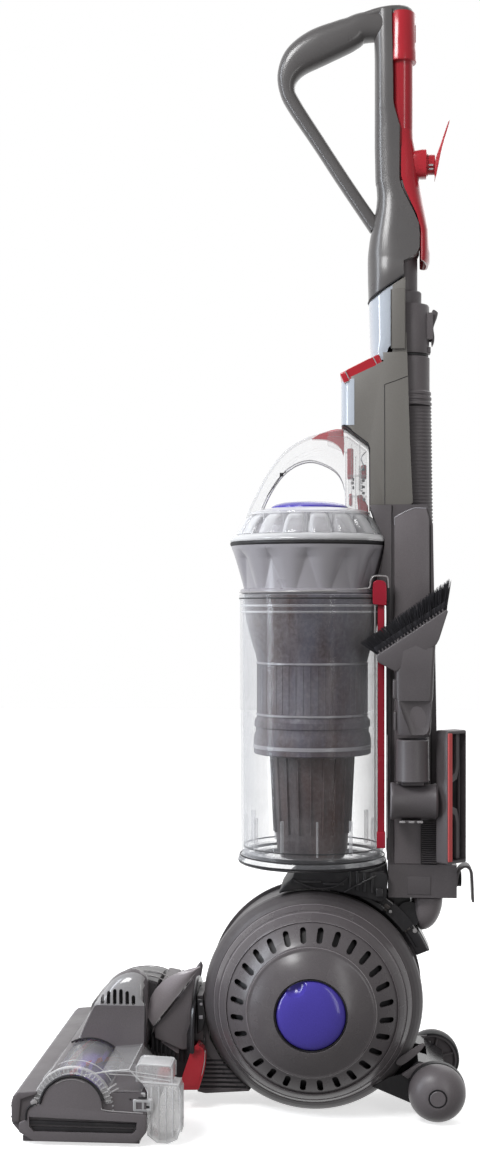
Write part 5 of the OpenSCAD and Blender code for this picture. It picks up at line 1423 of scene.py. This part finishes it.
put(join("vane_edges", [wire("w", [P(45.4, -153.2, 79.6), P(47.6, -130.4, 108.4), P(45.4, -107.8, 137.0)],
    0.4, 6, per=2)]), "neck", "flap", "neck_flap")
sl = []
for i in range(8):
    front, back, foot, top = -156 + i * 4.2, -153.6 + i * 4.2, 50 - i * 0.9, 74 - abs(i - 3) * 1.2
    sl += both([(front, foot), (back, foot), (back, top), (front, top)], 33.6, 37.4, 0.7, 2)
sl += both([(-142, 30), (-119, 26), (-119, 60), (-142, 60)], 32, 35.4)
sl += both([(-156, 53), (-126, 47), (-125, 68), (-156, 66)], 33.4, 35)
put(join("sleeve", sl), "neck", "black", "head_neck")
col_ = [lathe("co", [(44, -117), (53, -117), (55, -116), (55.6, -114.4), (54.6, -112.8), (44, -112.8)],
    P(0, 0, 62), "Y", 64, a0=-96, a1=96),
        lathe("co", [(34, -121), (43, -121), (46, -118), (46, -112.8), (34, -112.8)], P(0, 0, 62), "Y", 64,
        a0=-110, a1=110)]
put(join("collar", col_), "neck", "dark", "head_neck")
# links between the nose and the neck
lk = both([(-111.6, 104), (-106, 103), (-103, 88), (-106, 74), (-111.6, 70)], 30, 37, 1.2, 3)
lk += both([(-111.6, 66), (-108, 72), (-104.4, 66), (-104.4, 52), (-109, 47), (-111.6, 49)], 30, 34, 0.8, 2)
put(join("links", lk), "yoke", "dark", "yoke_frame")
put(join("link_glints", [block("g", s * 36.8, s * 37.6, -109.8, -106, 85, 88.4, 0.4) for s in SIDES]
    + [block("g", s * 36.8, s * 37.6, -109, -106.4, 98, 100.6, 0.4) for s in SIDES]), "yoke", "silver",
    "yoke_frame")
# red release wedge
lw_ = prism("lw", smooth_line([(-105.6, 62.4), (-103, 60.6), (-101.8, 56), (-103.2, 43), (-108.4, 25.4)], 4)
    + [(-109.4, 24.2), (-126.6, 23.6), (-127, 25)]
            + smooth_line([(-122.6, 38), (-116.6, 51), (-109.6, 61.4)], 4), 36, 49.6, 2.4, 4)
lw_.data.transform(Matrix.Translation((0, 0, -0.004)))
put(lw_, "latch", "red", "head_latch")
put(wire("w", [P(48.6, -108.2, 25.8), P(49.6, -103.6, 44), P(49, -102.6, 58)], 0.5, 8), "latch", "flap",
    "head_latch")


# ------------------------------------------------------------------ light, floor, camera
def lit(name, at, aim, power, size, col=(1, 1, 1)):
    l = bpy.data.lights.new(name, "AREA")
    l.energy = power; l.color = col
    l.shape = "RECTANGLE"; l.size, l.size_y = size
    o = placed(name, l)
    o.location = P(*at)
    o.rotation_euler = (P(*aim) - P(*at)).to_track_quat("-Z", "Y").to_euler()


lit("Key", (1300, -900, 1900), (0, 0, 450), 25, (0.7, 0.7))
lit("Side", (1500, 1000, 700), (0, 0, 500), 5, (0.3, 1.7))
lit("Front", (600, -1500, 900), (0, -50, 450), 17, (0.3, 1.9), (0.86, 0.92, 1.0))
lit("Back", (-1200, 500, 1700), (0, 0, 500), 6, (1.4, 1.4))
w = bpy.data.worlds.new("Studio"); bpy.context.scene.world = w
w.use_nodes = True
wt = w.node_tree; bg = wt.nodes["Background"]
# pale room behind the cleaner, dimmer in front of it; the camera itself sees plain white
wc = wt.nodes.new("ShaderNodeTexCoord"); ws = wt.nodes.new("ShaderNodeSeparateXYZ")
wm = wt.nodes.new("ShaderNodeMapRange"); wm.interpolation_type = "SMOOTHSTEP"
preset(wm, From_Min=-0.75, From_Max=0.2, To_Min=1.0, To_Max=0.23)
wl = wt.nodes.new("ShaderNodeLightPath")
wx = wt.nodes.new("ShaderNodeMath"); wx.operation = "MAXIMUM"
link(wt, wc.outputs["Generated"], ws.inputs["Vector"])
link(wt, ws.outputs["X"], wm.inputs["Value"])
link(wt, wm.outputs["Result"], wx.inputs[0])
link(wt, wl.outputs["Is Camera Ray"], wx.inputs[1])
link(wt, wx.outputs[0], bg.inputs["Strength"])
preset(bg, Color=(1, 1, 1, 1))
bpy.context.scene.view_settings.view_transform = "Standard"
bpy.context.scene.view_settings.look = "None"

floor = bpy.data.meshes.new("floor")
floor.from_pydata([(-6, -6, 0), (6, -6, 0), (6, 6, 0), (-6, 6, 0)], [], [(0, 1, 2, 3)])
fo = placed("floor", floor)
fo.location.z = -0.0006
fm, ft, fb = nodes_of("pale_floor", (0.8, 0.8, 0.8))
link(ft, mix(ft, ramp(ft, noise(ft, 3, 3), 0.3, 0.7), (0.93, 0.93, 0.93), (0.96, 0.96, 0.96)),
    fb.inputs["Base Color"])
preset(fb, Emission_Color=(1, 1, 1, 1), Emission_Strength=0.62, Roughness=0.7, Specular_IOR_Level=0.2)
floor.materials.append(fm)
fo.visible_diffuse = False; fo.visible_glossy = False

cam = bpy.data.cameras.new("Camera")
co = placed("Camera", cam)
bpy.context.scene.camera = co
cam.sensor_fit = "VERTICAL"; cam.sensor_height = 36; cam.lens = 52.7
cam.clip_start = 0.05
cam.shift_y = 0.0248
co.location = P(1650, 54, 485)
yaw = radians(4.4)
co.rotation_euler = Vector((-cos(yaw), -sin(yaw), 0)).to_track_quat("-Z", "Y").to_euler()
